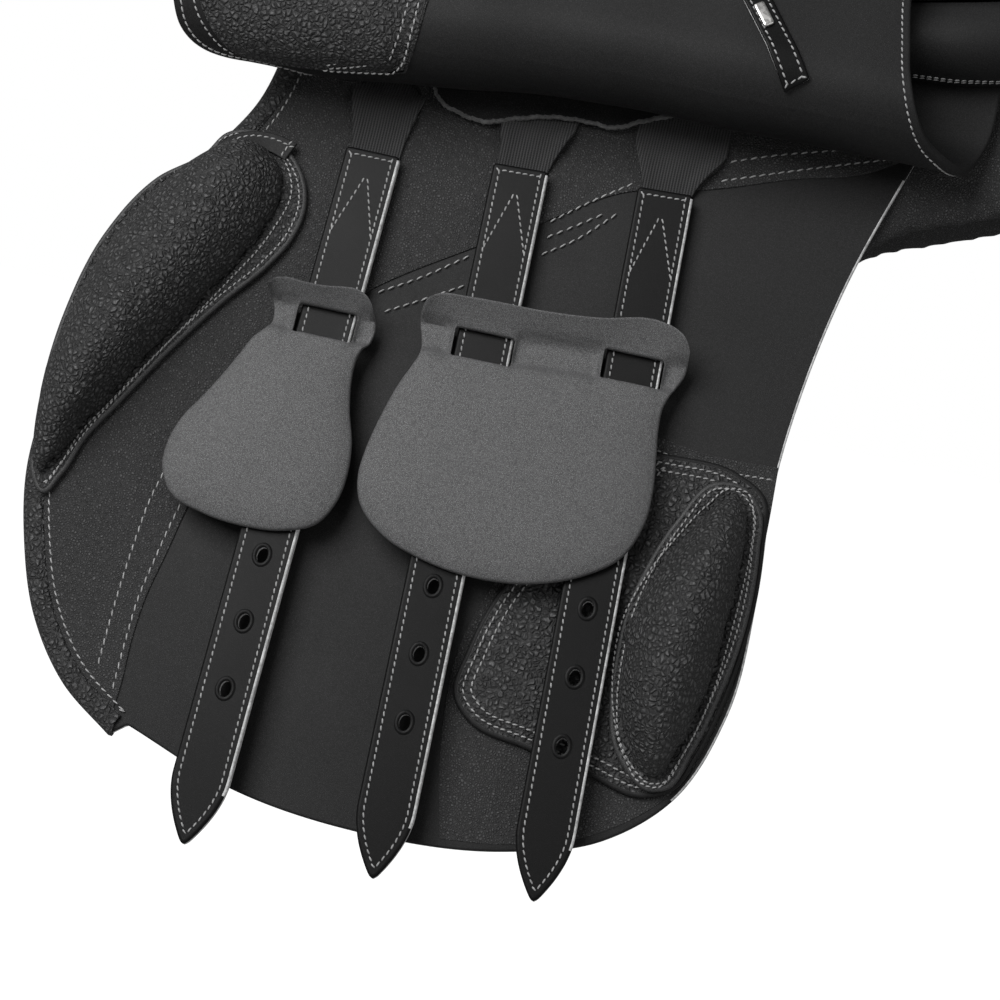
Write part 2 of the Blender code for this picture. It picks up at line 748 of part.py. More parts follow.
def block(name, outline, ridge, flange, height, lift, material):
    """Padded block: a stitched flange with a domed cushion on it."""
    plate = plate_mesh(name, (outline,), flange, lift)
    dome = ridge_mesh(name, ridge, lift + flange, height - flange)
    pivot = (ridge[len(ridge) // 2][0] * MM, -ridge[len(ridge) // 2][1] * MM, lift)
    mesh = joined(name, plate, [dome])
    mesh.shade_smooth()
    mesh.set_sharp_from_angle(angle=SHARP)
    return placed(name + "_L", mesh, material, pivot)


def strap_mesh(name):
    """Pointed strap, punched, in its own frame: along, down from its top."""
    length, last = STRAPS[name][3:]
    half = STRAP_WIDTH / 2 / MM
    tip = length / MM
    shoulder = (length - STRAP_TIP) / MM
    narrow = half * STRAP_POINT_WIDE
    low = (shoulder + tip) / 2 + STRAP_POINT_LOW
    outline = (
        (-half, 0, 1), (-half, shoulder / 2, 1), (-half, shoulder), (-narrow, low), (0, tip, 1),
        (narrow, low), (half, shoulder), (half, shoulder / 2, 1), (half, 0, 1),
    )
    loops = [outline]
    for k in range(HOLE_COUNT):
        down = (length - last - k * HOLE_PITCH) / MM
        hole = []
        for j in range(HOLE_SIDES):
            angle = 2 * pi * (j + 0.5) / HOLE_SIDES
            hole.append((HOLE_HALF_WIDTH / MM * cos(angle), down + HOLE_HALF_LENGTH / MM * sin(angle), 1))
        loops.append(tuple(hole))
    return plate_mesh(name, loops, STRAP_THICKNESS, 0, steps=3)


def strap_frame(name, hinge):
    """Frame of a strap's top in the side's frame, leaning out from the flap."""
    along, down, turn = STRAPS[name][:3]
    spin = Matrix.Rotation(radians(turn), 4, "Z")
    lean = Matrix.Rotation(-STRAP_LEAN_OUT, 4, "X")
    pivot = Vector((0, -hinge, STRAP_STANDOFF))
    top = Vector((along * MM, -down * MM, STRAP_STANDOFF)) - pivot
    return Matrix.Translation(pivot) @ lean @ Matrix.Translation(top) @ spin


def web_mesh(name, strap, hinge):
    """Folded web from its hinge down over the back of the strap's top."""
    half_top, middle = WEB_TOPS[name]
    along, down, turn = STRAPS[strap][:3]
    half = STRAP_WIDTH / 2 / MM - WEB_SPARE
    start = hinge / MM + GAP / MM
    end = down + WEB_OVERLAP / MM
    shift = tan(radians(turn)) * WEB_OVERLAP / MM
    outline = (
        (middle - half_top, start, 1), (along - half, down - 1, 1), (along - half + shift, end, 1),
        (along + half + shift, end, 1), (along + half, down - 1, 1), (middle + half_top, start, 1),
    )
    lift = STRAP_STANDOFF - GAP - WEB_THICKNESS
    return plate_mesh(name, (outline,), WEB_THICKNESS, lift, steps=1)


def moved(mesh, matrix):
    """Mesh carried by a matrix."""
    mesh.transform(matrix)
    return mesh


def cuts_between(left, right, windows):
    """Places to cut a guard so that it bends, clear of its windows."""
    cuts = []
    start = left
    for low, high in windows + [(right, right)]:
        count = max(1, round((low - start) / GUARD_CUT_STEP))
        cuts += [start + (low - start) * (k + 0.5) / count for k in range(count)]
        start = high
    return cuts


def guard_mesh(name, outline, straps, hinge):
    """Buckle guard: a crowned plate with windows and a bridge behind each strap."""
    half = STRAP_WIDTH / 2 + WINDOW_CLEAR
    front = STRAP_THICKNESS + GAP * 2
    loops = [outline]
    bridges = []
    windows = []
    for strap in straps:
        along, down, turn = STRAPS[strap][:3]
        top = WINDOW_DOWN[strap]
        bottom = top + WINDOW_HEIGHT / MM
        middle = along + tan(radians(turn)) * (top - down)
        low_middle = middle + tan(radians(turn)) * WINDOW_HEIGHT / MM
        wide = half / MM
        windows.append(((min(middle, low_middle) - wide) * MM, (max(middle, low_middle) + wide) * MM))
        loops.append((
            (middle - wide, top, 1), (middle + wide, top, 1),
            (low_middle + wide, bottom, 1), (low_middle - wide, bottom, 1),
        ))
        centre = (middle + low_middle) / 2 * MM
        level = -(top + bottom) / 2 * MM
        back = -GAP * 2 - BRIDGE_THICKNESS / 2
        size = (2 * (half + POST_WIDE), BRIDGE_TALL, BRIDGE_THICKNESS)
        bar = box_mesh("bar", size, (centre, level, back))
        rise = front + POST_SUNK - back
        posts = []
        for sign in (-1, 1):
            spot = (centre + sign * (half + POST_WIDE / 2 + WINDOW_CLEAR), level, back + rise / 2)
            posts.append(box_mesh("post", (POST_WIDE, POST_TALL, rise), spot))
        bridges += [joined(name + strap, bar, posts)]
    plate = plate_mesh(name, loops, GUARD_THICKNESS, front)
    low = max(knot[1] for knot in outline) * MM
    high = min(knot[1] for knot in outline) * MM
    left = min(knot[0] for knot in outline) * MM
    right = max(knot[0] for knot in outline) * MM
    levels = [WINDOW_DOWN[strap] * MM for strap in straps]
    fold = min(levels) - GUARD_LIP_ABOVE
    waist = max(levels) + WINDOW_HEIGHT + GUARD_WAIST_BELOW
    centre = (left + right) / 2

    def height(along, down):
        if down < waist:
            rise = max(0, (fold - down) / (fold - high))
            return GUARD_LIP_LIFT * rise ** GUARD_LIP_CURL
        f = (down - waist) / (low - waist)
        g = (along - centre) / (right - left) * 2
        return GUARD_CROWN * sin(pi * f * GUARD_FULLNESS) * max(0, 1 - g * g)

    cuts_down = [(high + fold) / 2, fold, waist]
    cuts_down += [waist + (low - waist) * k / GUARD_CUTS for k in range(1, GUARD_CUTS)]
    cuts_along = cuts_between(left, right, windows)
    plate = curved(plate, cuts_along, cuts_down, height)
    mesh = joined(name, plate, bridges)
    pivot = Vector((0, -hinge, STRAP_STANDOFF))
    lean = Matrix.Translation(pivot) @ Matrix.Rotation(-STRAP_LEAN_OUT, 4, "X")
    return moved(mesh, lean @ Matrix.Translation((0, hinge, 0)))


def attach(child, parent):
    """Parent a piece without moving it."""
    world = child.matrix_world.copy()
    child.parent = parent
    child.matrix_parent_inverse = parent.matrix_world.inverted()
    child.matrix_world = world


def build_straps(leather, grey, web):
    """Webs, straps and buckle guards of the near side."""
    groups = (
        (FRONT_HINGE_DOWN, ("girth_strap_1",), "small_guard_L", SMALL_GUARD_OUTLINE),
        (REAR_HINGE_DOWN, ("girth_strap_2", "girth_strap_3"), "large_guard_L", LARGE_GUARD_OUTLINE),
    )
    for hinge, straps, guard_name, outline in groups:
        pivot = Vector((0, -hinge, STRAP_STANDOFF))
        pivot.x = sum(STRAPS[strap][0] for strap in straps) / len(straps) * MM
        lead = None
        lean = Matrix.Translation(pivot) @ Matrix.Rotation(-STRAP_LEAN_OUT, 4, "X")
        lean = lean @ Matrix.Translation(-pivot)
        for strap in straps:
            mesh = moved(strap_mesh(strap), strap_frame(strap, hinge))
            item = placed(strap + "_L", mesh, leather, pivot)
            lead = lead or item
            if item is not lead:
                attach(item, lead)
            web_name = strap.replace("strap", "web")
            mesh = moved(web_mesh(web_name, strap, hinge), lean)
            attach(placed(web_name + "_L", mesh, web, pivot), lead)
        mesh = guard_mesh(guard_name, outline, straps, hinge)
        attach(placed(guard_name, mesh, grey, pivot), lead)


def build_web_roots(web):
    """Fixed ends of the webs: one through the slot, one pair under the tongue."""
    lift = STRAP_STANDOFF - GAP - WEB_THICKNESS
    half, middle = WEB_TOPS["girth_web_1"]
    behind = -SWEAT_THICKNESS - GAP - WEB_THICKNESS
    enter, leave = WEB_SLOT
    path = ((-WEB_ROOT_TOP, behind), (enter, behind), (leave, lift), (FRONT_HINGE_DOWN, lift))
    upper = []
    lower = []
    edges = [(middle + sign * half) * MM for sign in (-1, 1)]
    for down, height in path:
        upper.append([Vector((edge, -down, height + WEB_THICKNESS)) for edge in edges])
        lower.append([Vector((edge, -down, height)) for edge in edges])
    item = shell("web_root_1_L", upper, lower, web)
    item.matrix_world = side_matrix()
    left, second = WEB_TOPS["girth_web_2"]
    right, third = WEB_TOPS["girth_web_3"]
    end = REAR_HINGE_DOWN / MM
    top = -WEB_ROOT_TOP / MM
    outline = (
        (second - left, top, 1), (third + right, top, 1), (third + right, end, 1),
        (third - right, end, 1), (third - right, WEB_FORK, 1), (second + left, WEB_FORK, 1),
        (second + left, end, 1), (second - left, end, 1),
    )
    placed("web_root_2_L", plate_mesh("web_root_2", (outline,), WEB_THICKNESS, lift, steps=1), web)


def fold_points():
    """Down and height of each fold and of the leaf's turn, on the inside of the bend."""
    height = FLAP_STANDOFF + FLAP_THICKNESS
    down = FOLD_DOWN
    places = [(down, height)]
    turn = 0
    for _ in range(2):
        turn += BEND_TURN
        down += BEND_LENGTH * cos(turn)
        height += BEND_LENGTH * sin(turn)
        places.append((down, height))
    return places


def segment_mesh(name, length, front, rear, back_turn):
    """Bend piece in its own frame: down from its fold, thickness away from the bend."""
    cut = GAP / 2
    upper = []
    lower = []
    for f, start in ((0, cut), (1, length - cut)):
        slant = -f * (FLAP_THICKNESS * tan(back_turn) + GAP)
        left = front[0] + (rear[0] - front[0]) * f
        right = front[1] + (rear[1] - front[1]) * f
        upper.append([Vector((edge * MM, -start, 0)) for edge in (left, right)])
        lower.append([Vector((edge * MM, -start - slant, -FLAP_THICKNESS)) for edge in (left, right)])
    item = shell(name, upper, lower, MATERIALS["leather"])
    mesh = item.data
    bpy.data.objects.remove(item, do_unlink=True)
    return mesh


def build_flap(leather, padding):
    """Outer flap: its fixed top, two bend pieces and the raised leaf."""
    folds = fold_points()
    top = FLAP_TOP_DOWN / MM
    fold = (FOLD_DOWN - GAP / 2) / MM
    outline = (
        (FLAP_EDGES[0][0], top, 1), (FLAP_EDGES[0][1], top, 1),
        (FLAP_EDGES[0][1] - FLAP_REAR_HOLLOW, (top + fold) / 2),
        (FLAP_EDGES[1][1], fold, 1), (FLAP_EDGES[1][0], fold, 1),
    )
    placed("flap_top_L", plate_mesh("flap_top", (outline,), FLAP_THICKNESS, FLAP_STANDOFF, steps=2), leather)
    parent = None
    turn = 0
    for k in range(3):
        turn += BEND_TURN
        if k == 2:
            turn = pi + LEAF_LEAN_IN
        down, height = folds[k]
        spin = Matrix.Rotation(-turn, 4, "X")
        if k < 2:
            name = f"flap_bend_{k + 1}_L"
            mesh = segment_mesh(name, BEND_LENGTH, FLAP_EDGES[k + 1], FLAP_EDGES[k + 2], BACK_TURNS[k])
        else:
            start = GAP / 2 / MM
            loop = [(knot[0], max(knot[1], start), *knot[2:]) for knot in LEAF_OUTLINE]
            mesh = plate_mesh("flap_leaf", (loop,), FLAP_THICKNESS, -FLAP_THICKNESS)
            name = "flap_leaf_L"
        item = new_object(name, mesh, leather)
        item.matrix_world = side_matrix() @ Matrix.Translation((0, -down, height)) @ spin
        if parent:
            attach(item, parent)
        parent = item
    back = -FLAP_THICKNESS - GAP - PATCH_THICKNESS
    patch = plate_mesh("flap_padding", (PATCH_OUTLINE,), PATCH_THICKNESS, back)
    patch = new_object("flap_padding_L", patch, padding)
    build_keeper(parent, leather, MATERIALS["steel"])
    patch.matrix_world = parent.matrix_world.copy()
    attach(patch, parent)


def build_keeper(leaf, leather, steel):
    """Stitched strap on the leaf's underside with a metal plate let into it."""
    start = Vector((KEEPER_START[0], -KEEPER_START[1], 0)) * MM
    end = Vector((KEEPER_END[0], -KEEPER_END[1], 0)) * MM
    run = end - start
    angle = run.to_2d().angle_signed(Vector((0, -1)))
    length = run.length
    half = KEEPER_WIDTH / 2 / MM
    tall = length / MM
    at = tall * KEEPER_PLATE_AT
    wide = PLATE_SIZE[0] / 2 / MM + GAP / MM
    high = PLATE_SIZE[1] / 2 / MM + GAP / MM
    outline = ((-half, 0, 1), (half, 0, 1), (half, tall, 1), (-half, tall, 1))
    slot = ((-wide, at - high, 1), (wide, at - high, 1), (wide, at + high, 1), (-wide, at + high, 1))
    lift = -FLAP_THICKNESS - GAP - KEEPER_THICKNESS
    frame = Matrix.Translation(start) @ Matrix.Rotation(angle, 4, "Z")
    mesh = moved(plate_mesh("keeper", (outline, slot), KEEPER_THICKNESS, lift, steps=1), frame)
    strap = new_object("flap_keeper_L", mesh, leather)
    strap.matrix_world = leaf.matrix_world.copy()
    attach(strap, leaf)
    depth = -FLAP_THICKNESS - GAP - PLATE_SIZE[2] / 2
    plate = moved(box_mesh("keeper_plate", PLATE_SIZE, (0, -at * MM, depth)), frame)
    item = new_object("keeper_plate_L", plate, steel)
    item.matrix_world = leaf.matrix_world.copy()
    attach(item, leaf)


def skirt_point(x, f, back):
    """Point down the skirt's section from the seat's edge, f from 0 to 1."""
    edge, low = row_at(SEAT_LINE, x)[1:]
    down, off = row_at(SKIRT_LINE, x)
    front, rear = Vector(SKIRT_AXIS[0]) * MM, Vector(SKIRT_AXIS[1]) * MM
    share = (x - front.x) / (rear.x - front.x)
    axis = front.lerp(rear, share)
    far = (Vector((edge, low - SEAT_EDGE_THICKNESS)) - axis.yz).length
    start = Vector((edge - SKIRT_TUCK, low - SEAT_EDGE_THICKNESS - LINING_GAP - SKIRT_DROP * far))
    end = Vector(on_face(down, off))
    bulge = SKIRT_BULGE * 4 * f * (1 - f)
    across = (end - start).normalized()
    normal = Vector((-across.y, across.x))
    spot = start.lerp(end, f) + normal * (bulge - back)
    return Vector((x, -spot.x, spot.y))


def build_skirt(leather):
    """Skirt that covers the stirrup bar, hinged at the seat's sewn edge."""
    upper, lower = [], []
    for x in stations(SKIRT_LINE, SKIRT_STEP):
        upper.append([skirt_point(x, f, 0) for f in SKIRT_SHARES])
        lower.append([skirt_point(x, f, SKIRT_THICKNESS) for f in SKIRT_SHARES])
    item = shell("skirt_L", upper, lower, leather)
    front, rear = Vector(SKIRT_AXIS[0]) * MM, Vector(SKIRT_AXIS[1]) * MM
    pivot = (front + rear) / 2
    pivot.y = -pivot.y
    item.data.transform(Matrix.Translation(-pivot))
    item.location = pivot


def build_bar(steel):
    """Stirrup bar, open at its rear end, where a hinged catch closes it."""
    out = FLAP_STANDOFF + FLAP_THICKNESS + LEATHER_SPACE + BAR_RADIUS
    root = -SWEAT_THICKNESS - WEB_THICKNESS
    turn = BAR_RADIUS * BAR_CORNER
    points = [
        (BAR_REAR, -BAR_DOWN, out), (BAR_FRONT + turn, -BAR_DOWN, out),
        (BAR_FRONT, -BAR_DOWN + turn, out), (BAR_FRONT, -BAR_ROOT_DOWN - turn, out),
        (BAR_FRONT, -BAR_ROOT_DOWN, out - turn), (BAR_FRONT, -BAR_ROOT_DOWN, root + BAR_ROOT_THICKNESS / 2),
    ]
    rod = tube_mesh("bar", points, BAR_RADIUS)
    length = BAR_REAR - BAR_FRONT + BAR_ROOT_SPARE
    centre = ((BAR_REAR + BAR_FRONT) / 2, -BAR_ROOT_DOWN, root + BAR_ROOT_THICKNESS / 2)
    plate = box_mesh("bar_root", (length, BAR_ROOT_HEIGHT, BAR_ROOT_THICKNESS), centre)
    placed("stirrup_bar_L", joined("stirrup_bar", rod, [plate]), steel)
    pivot = (BAR_REAR + GAP + CATCH_WIDTH / 2, -BAR_DOWN, out)
    middle = (pivot[0] + CATCH_LENGTH / 2, -BAR_DOWN, out)
    tongue = box_mesh("catch", (CATCH_LENGTH, CATCH_WIDTH, CATCH_DEPTH), middle)
    knuckle = disc_mesh("knuckle", CATCH_WIDTH / 2, CATCH_DEPTH, Matrix.Translation(pivot))
    placed("bar_catch_L", joined("bar_catch", tongue, [knuckle]), steel, pivot)


def build_dee(steel, leather):
    """Front dee that swings in a bored leather chape."""
    along, down = DEE_AT
    height = GAP + CHAPE_SIZE[2] / 2
    centre = (along, -down + CHAPE_SIZE[1] / 2 - DEE_WIRE * 2, height)
    chape = scratch_object("dee_chape", box_mesh("chape", CHAPE_SIZE, centre))
    across = Matrix.Translation((along, -down, height)) @ Matrix.Rotation(pi / 2, 4, "Y")
    bore = disc_mesh("chape_bore", DEE_WIRE + CHAPE_CLEAR, CHAPE_SIZE[0] * 2, across)
    cutter = scratch_object("chape_bore", bore)
    cut = chape.modifiers.new("bore", "BOOLEAN")
    cut.operation = "DIFFERENCE"
    cut.solver = "EXACT"
    cut.object = cutter
    placed("dee_chape_L", mesh_of(chape), leather)
    bpy.data.objects.remove(cutter, do_unlink=True)
    points = []
    for k in range(SEGMENTS // 2 + 1):
        angle = pi * k / (SEGMENTS // 2)
        x = along + cos(angle) * DEE_HALF
        points.append((x, -down - DEE_WIRE - sin(angle) ** DEE_FULLNESS * (DEE_DROP - DEE_WIRE), height))
    points = [(along + DEE_HALF, -down, height)] + points + [(along - DEE_HALF, -down, height)]
    ring = tube_mesh("dee", points, DEE_WIRE, sides=1, closed=True)
    placed("dee_L", ring, steel, (along, -down, height))


def mirrored(item):
    """Far-side copy of a near-side piece."""
    flip = Matrix.Scale(-1, 4, (0, 1, 0))
    bpy.context.view_layer.update()
    mesh = item.data.copy()
    mesh.transform(flip)
    mesh.flip_normals()
    copy = bpy.data.objects.new(item.name[:-2] + "_R", mesh)
    PARTS.objects.link(copy)
    copy.matrix_world = flip @ item.matrix_world @ flip
    for modifier in item.modifiers:
        soften = copy.modifiers.new(modifier.name, modifier.type)
        soften.levels = modifier.levels
        soften.render_levels = modifier.render_levels


def mirror_side():
    """The far side, piece by piece, with the same parents."""
    near = [item for item in PARTS.objects if item.name.endswith("_L")]
    for item in near:
        mirrored(item)
    for item in near:
        if item.parent:
            child = bpy.data.objects[item.name[:-2] + "_R"]
            attach(child, bpy.data.objects[item.parent.name[:-2] + "_R"])


clear_scene()
PARTS = bpy.data.collections.new("all_purpose_saddle")
bpy.context.scene.collection.children.link(PARTS)
CUTTERS = bpy.data.collections.new("saddle_cutters")
bpy.context.scene.collection.children.link(CUTTERS)

MATERIALS = {
    "leather": new_material("grained_leather", LEATHER, 0.52),
    "smooth": new_material("smooth_leather", SMOOTH_LEATHER, 0.42),
    "grey": new_material("guard_leather", GREY_LEATHER, 0.6),
    "suede": new_material("raw_suede", SUEDE, 0.95),
    "web": new_material("webbing", WEBBING, 0.85),
    "steel": new_material("plated_steel", STEEL, 0.25, 1.0),
    "tree": new_material("moulded_tree", MOULDING, 0.5),
}


def build():
    """The whole saddle."""
    build_seat(MATERIALS["smooth"])
    build_tree(MATERIALS["tree"])
    build_head_plate(MATERIALS["steel"])
    build_panel(MATERIALS["leather"])
    sweat_flap(MATERIALS["leather"])
    base = plate_mesh("thigh_base", (BASE_OUTLINE,), BASE_THICKNESS, GAP)
    placed("thigh_base_L", base, MATERIALS["leather"])
    lift = BINDING_RADIUS - SWEAT_THICKNESS / 2 + GAP
    block("knee_block", KNEE_OUTLINE, KNEE_RIDGE, KNEE_FLANGE, KNEE_HEIGHT, lift, MATERIALS["leather"])
    block(
        "thigh_block", THIGH_OUTLINE, THIGH_RIDGE, THIGH_FLANGE, THIGH_HEIGHT,
        GAP * 2 + BASE_THICKNESS, MATERIALS["leather"],
    )
    build_straps(MATERIALS["smooth"], MATERIALS["grey"], MATERIALS["web"])
    build_web_roots(MATERIALS["web"])
    lift = STRAP_STANDOFF + GAP
    tongue = plate_mesh("web_cover", (TONGUE_OUTLINE,), TONGUE_THICKNESS, lift)
    placed("web_cover_L", tongue, MATERIALS["suede"])
    build_flap(MATERIALS["smooth"], MATERIALS["leather"])
    build_skirt(MATERIALS["smooth"])
    build_bar(MATERIALS["steel"])
    build_dee(MATERIALS["steel"], MATERIALS["leather"])
    bpy.context.view_layer.update()
    mirror_side()


build()
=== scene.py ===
"""Leather, stitching, padding, webbing and metal of an all-purpose riding saddle.

Lengths are millimetres unless a name or a property's unit says otherwise. The pieces of a
side are worked out in that side's frame: along towards the cantle, up the slope of the
sweat flap's face, and out from that face. Outlines are written (along, down), and a third
entry marks a corner. The far side is the near side reflected in the plane of the spine.
"""

from collections import namedtuple
from functools import partial
from math import cos, pi, radians, sin, tan

import bmesh
import bpy
import numpy as np
from bpy.props import FloatProperty, FloatVectorProperty, PointerProperty
from mathutils import Matrix, Vector
from mathutils.geometry import delaunay_2d_cdt, tessellate_polygon


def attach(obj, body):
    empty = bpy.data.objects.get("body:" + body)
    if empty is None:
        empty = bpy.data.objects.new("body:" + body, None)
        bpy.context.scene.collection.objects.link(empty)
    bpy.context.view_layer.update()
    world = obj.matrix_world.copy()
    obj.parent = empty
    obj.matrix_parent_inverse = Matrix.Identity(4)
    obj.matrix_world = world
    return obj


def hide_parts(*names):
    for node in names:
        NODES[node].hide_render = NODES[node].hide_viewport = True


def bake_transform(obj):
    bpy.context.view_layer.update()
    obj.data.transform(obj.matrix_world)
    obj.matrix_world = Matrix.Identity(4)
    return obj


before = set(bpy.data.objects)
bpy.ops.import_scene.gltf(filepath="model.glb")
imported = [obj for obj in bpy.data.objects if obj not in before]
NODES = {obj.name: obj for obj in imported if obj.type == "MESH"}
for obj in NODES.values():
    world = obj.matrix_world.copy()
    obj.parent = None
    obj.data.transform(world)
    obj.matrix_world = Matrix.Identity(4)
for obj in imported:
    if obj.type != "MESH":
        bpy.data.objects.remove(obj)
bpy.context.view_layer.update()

bl_info = {
    "name": "Riding saddle",
    "version": (1, 0, 0),
    "blender": (4, 5, 0),
    "location": "3D View > Sidebar > Saddle",
    "description": "Makes the leather, stitching, padding and metal of a riding saddle",
    "category": "Add Mesh",
}

MM = 0.001

# The side's frame: origin in metres, and its three directions
FACE_LEAN = radians(16)
FACE_ORIGIN = np.array([0.0, -0.128, -0.055])
FACE_AXES = np.array([
    [1.0, 0.0, 0.0],
    [0.0, sin(FACE_LEAN), cos(FACE_LEAN)],
    [0.0, -cos(FACE_LEAN), sin(FACE_LEAN)],
])
MIRROR = np.array([1, -1, 1])

# Curves, rounded edges and nets: steps from knot to knot, the flat rim inside an edge's
# rounding, the bands of faces down an edge, a net's row pitch and its least gap to an edge
STEPS_PER_KNOT = 24
EDGE_FLAT, EDGE_BANDS = 0.5, 9
ROW_SHARE, EDGE_SHARE = 0.866, 0.45

# Stitch: places along it and its roundness there, its sides, its slant to the row, how far
# its middle stands up and its ends go down, and the reach over which a row's way is taken
STITCH_X = np.array([-0.5, -0.44, -0.2, 0.2, 0.44, 0.5])
STITCH_ROUND = np.array([0.0, 0.7, 1.0, 1.0, 0.7, 0.0])
STITCH_SIDES, STITCH_SKEW, STITCH_LIFT, STITCH_BEND, STITCH_REACH = 6, radians(9), 0.75, 1.1, 0.8
SEAM_STITCH, BLOCK_STITCH = 1.35, 0.86

# Outlines of the flat pieces: (along, down[, corner])
SWEAT_OUTLINE = (
    (-186, -56, 1), (-188, -20), (-194, 14), (-212, 47), (-239, 98), (-251, 158), (-252, 206),
    (-245, 234), (-231, 267), (-212, 291), (-186, 309, 1), (-180, 304, 1), (-127, 321), (-73, 326),
    (-9, 320), (31, 306), (56, 283), (71, 243), (73, 190), (70, 140), (74, 90), (82, 45),
    (99, -14), (106, -36), (108, -46, 1),
)
SLOT_OUTLINE = (
    (-151.5, 6, 1), (-151.5, 0), (-148, -7), (-138, -11), (-127, -7), (-123.5, 0), (-123.5, 6, 1),
)
FRONT_PANEL = (
    (-183, -54, 1), (-185, -20), (-191, 14), (-209, 48), (-236, 99), (-248, 158), (-249, 206),
    (-242, 233), (-228, 265), (-210, 288), (-188, 303, 1), (-187, 290), (-187.5, 267),
    (-186.5, 249), (-182.5, 227), (-179.5, 209), (-168, 160), (-150, 118), (-123, 90.5), (-84, 62.5),
    (-56, 44), (-25, 23), (16, 12), (49, 0), (79, -9), (97, -20, 1), (105, -44, 1),
)
SEAM_ROWS = (
    ((-193, 192), (-196, 207), (-197.5, 225), (-198.6, 246), (-199, 270), (-199, 282)),
    ((-181, 200), (-184, 214), (-187, 232), (-189.5, 250), (-190, 267), (-190, 291)),
    ((-121, 92), (-103.7, 81), (-84, 66)), ((-116, 100), (-99, 90), (-83, 80)),
    ((-53.2, 43.2), (-37.4, 30.1), (-20, 17)), ((-53.3, 50.9), (-43.4, 43.9), (-30, 34)),
    ((-53.7, 59.1), (-40, 48.9), (-24, 32.5)), ((19.4, -1.8), (36.7, -8.5), (66.7, -18)),
    ((17.3, 7.9), (51.2, -4.9), (93.6, -20)), ((46, -19.8), (69, -18.8)),
)
REAR_PATCH = (
    (15, 129, 1), (40, 132), (70, 131, 1), (71, 160), (70.5, 200), (69, 242), (54, 281), (29, 303),
    (-9, 317), (-37, 321, 1), (-46, 280), (-48, 240), (-38, 205), (-18, 173), (4, 148),
)
KNEE_OUTLINE = (
    (-212, 45), (-205, 34), (-193, 30), (-181, 33), (-171, 40), (-164, 50), (-161, 62), (-163, 76),
    (-171, 92), (-186, 112), (-203, 138), (-220, 168), (-230, 186), (-236, 204), (-243, 214),
    (-249, 208), (-253, 190), (-256, 165), (-255, 130), (-247, 92), (-231, 62),
)
KNEE_RIDGE = (
    (-194, 35, 4, 4, 0.1), (-193, 42, 15, 15, 0.5), (-195, 54, 25, 24, 0.8),
    (-202, 76, 33, 27, 0.95), (-212, 102, 34, 24, 1), (-223, 130, 30, 19, 1),
    (-233, 157, 23, 14, 0.92), (-240, 180, 15, 9, 0.72), (-244, 198, 8, 5, 0.42),
    (-246, 208, 3, 2, 0.08),
)
KNEE_TAB = (
    (-206, 50, 1), (-206.5, 43), (-201.5, 36), (-194, 31.8), (-184.5, 30.6), (-172, 33, 1),
    (-175.5, 42, 1), (-184, 39.5), (-193, 41), (-200, 44.5), (-205, 50.5, 1),
)
BASE_OUTLINE = (
    (17, 137, 1), (54, 139), (66, 146), (70, 165), (72, 190), (71, 215), (68, 238), (62, 262),
    (54, 279), (44, 284), (18, 280), (-10, 275), (-36, 269), (-44, 261), (-43, 239), (-34, 208),
    (-14, 176), (8, 150),
)
THIGH_OUTLINE = (
    (46, 144), (57, 144), (66, 152), (69.5, 170), (71, 190), (70, 214), (66, 238), (60, 262),
    (52, 280), (44, 282), (34, 276), (26, 266), (20.5, 248), (18.6, 228), (19, 208), (23, 188),
    (31, 166),
)
THIGH_RIDGE = (
    (55, 148, 3, 3, 0.1), (54, 156, 9, 8, 0.5), (51, 171, 15, 13, 0.78), (47, 192, 21, 17, 0.95),
    (43, 214, 23, 20, 1), (41, 236, 20, 20, 1), (41, 255, 15, 16, 0.82), (43, 270, 9, 9, 0.5),
    (45, 278, 3, 3, 0.1),
)
SMALL_GUARD_OUTLINE = (
    (-165, 105), (-163.5, 101.5), (-159, 99.8), (-150, 100), (-140.5, 99.8), (-132, 98.5),
    (-126.5, 98.3), (-121, 100.8), (-117.5, 105.5), (-115.8, 111.5), (-116.3, 117), (-119.5, 124),
    (-120.3, 131), (-119.8, 138), (-117.5, 150), (-112.8, 165), (-111.3, 178), (-113, 192),
    (-119, 203), (-132, 209), (-150, 211), (-170, 209), (-184, 204), (-191, 193), (-191.5, 181),
    (-188, 169), (-181.7, 158), (-171.4, 137), (-167, 127), (-163, 122), (-161.4, 117), (-162.6, 110),
)
LARGE_GUARD_OUTLINE = (
    (-97.3, 102), (-95.5, 96), (-91.8, 92.9), (-78.6, 91), (-65, 90.5), (-42.5, 90.1),
    (-20.4, 88), (5.6, 83.6), (12.8, 85.1), (18, 88.2), (21.3, 93.8), (21.5, 102), (18, 111),
    (15.4, 120), (15.5, 128), (17.3, 141), (19.2, 156), (19, 171), (12, 189), (-2, 200),
    (-22, 208), (-46, 211), (-72, 208), (-91, 201), (-103, 190), (-106.8, 178), (-106.5, 167),
    (-103.8, 151), (-99.4, 134), (-95.8, 124.6), (-93.7, 118), (-95, 111),
)
TONGUE_OUTLINE = (
    (-122, -54, 1), (-120, -10), (-114, 0), (-104, 4), (-92, 5.5), (-78, 1), (-62, -3), (-46, -4),
    (-34, -4), (-22, -10), (-8, -16), (12, -22), (26, -54, 1),
)

# Sweat flap: its thickness, the levels of what lies on it, where its rear edge is bare
# (behind and below), and where the binding starts and ends
FACE_THICKNESS, PANEL_LEVEL, PATCH_LEVEL, TONGUE_LEVEL = 4, 0.8, 0.28, 5.6
BARE_EDGE_FROM, BINDING_ENDS = (55, -10), ((-188, -30), (-186, 309))

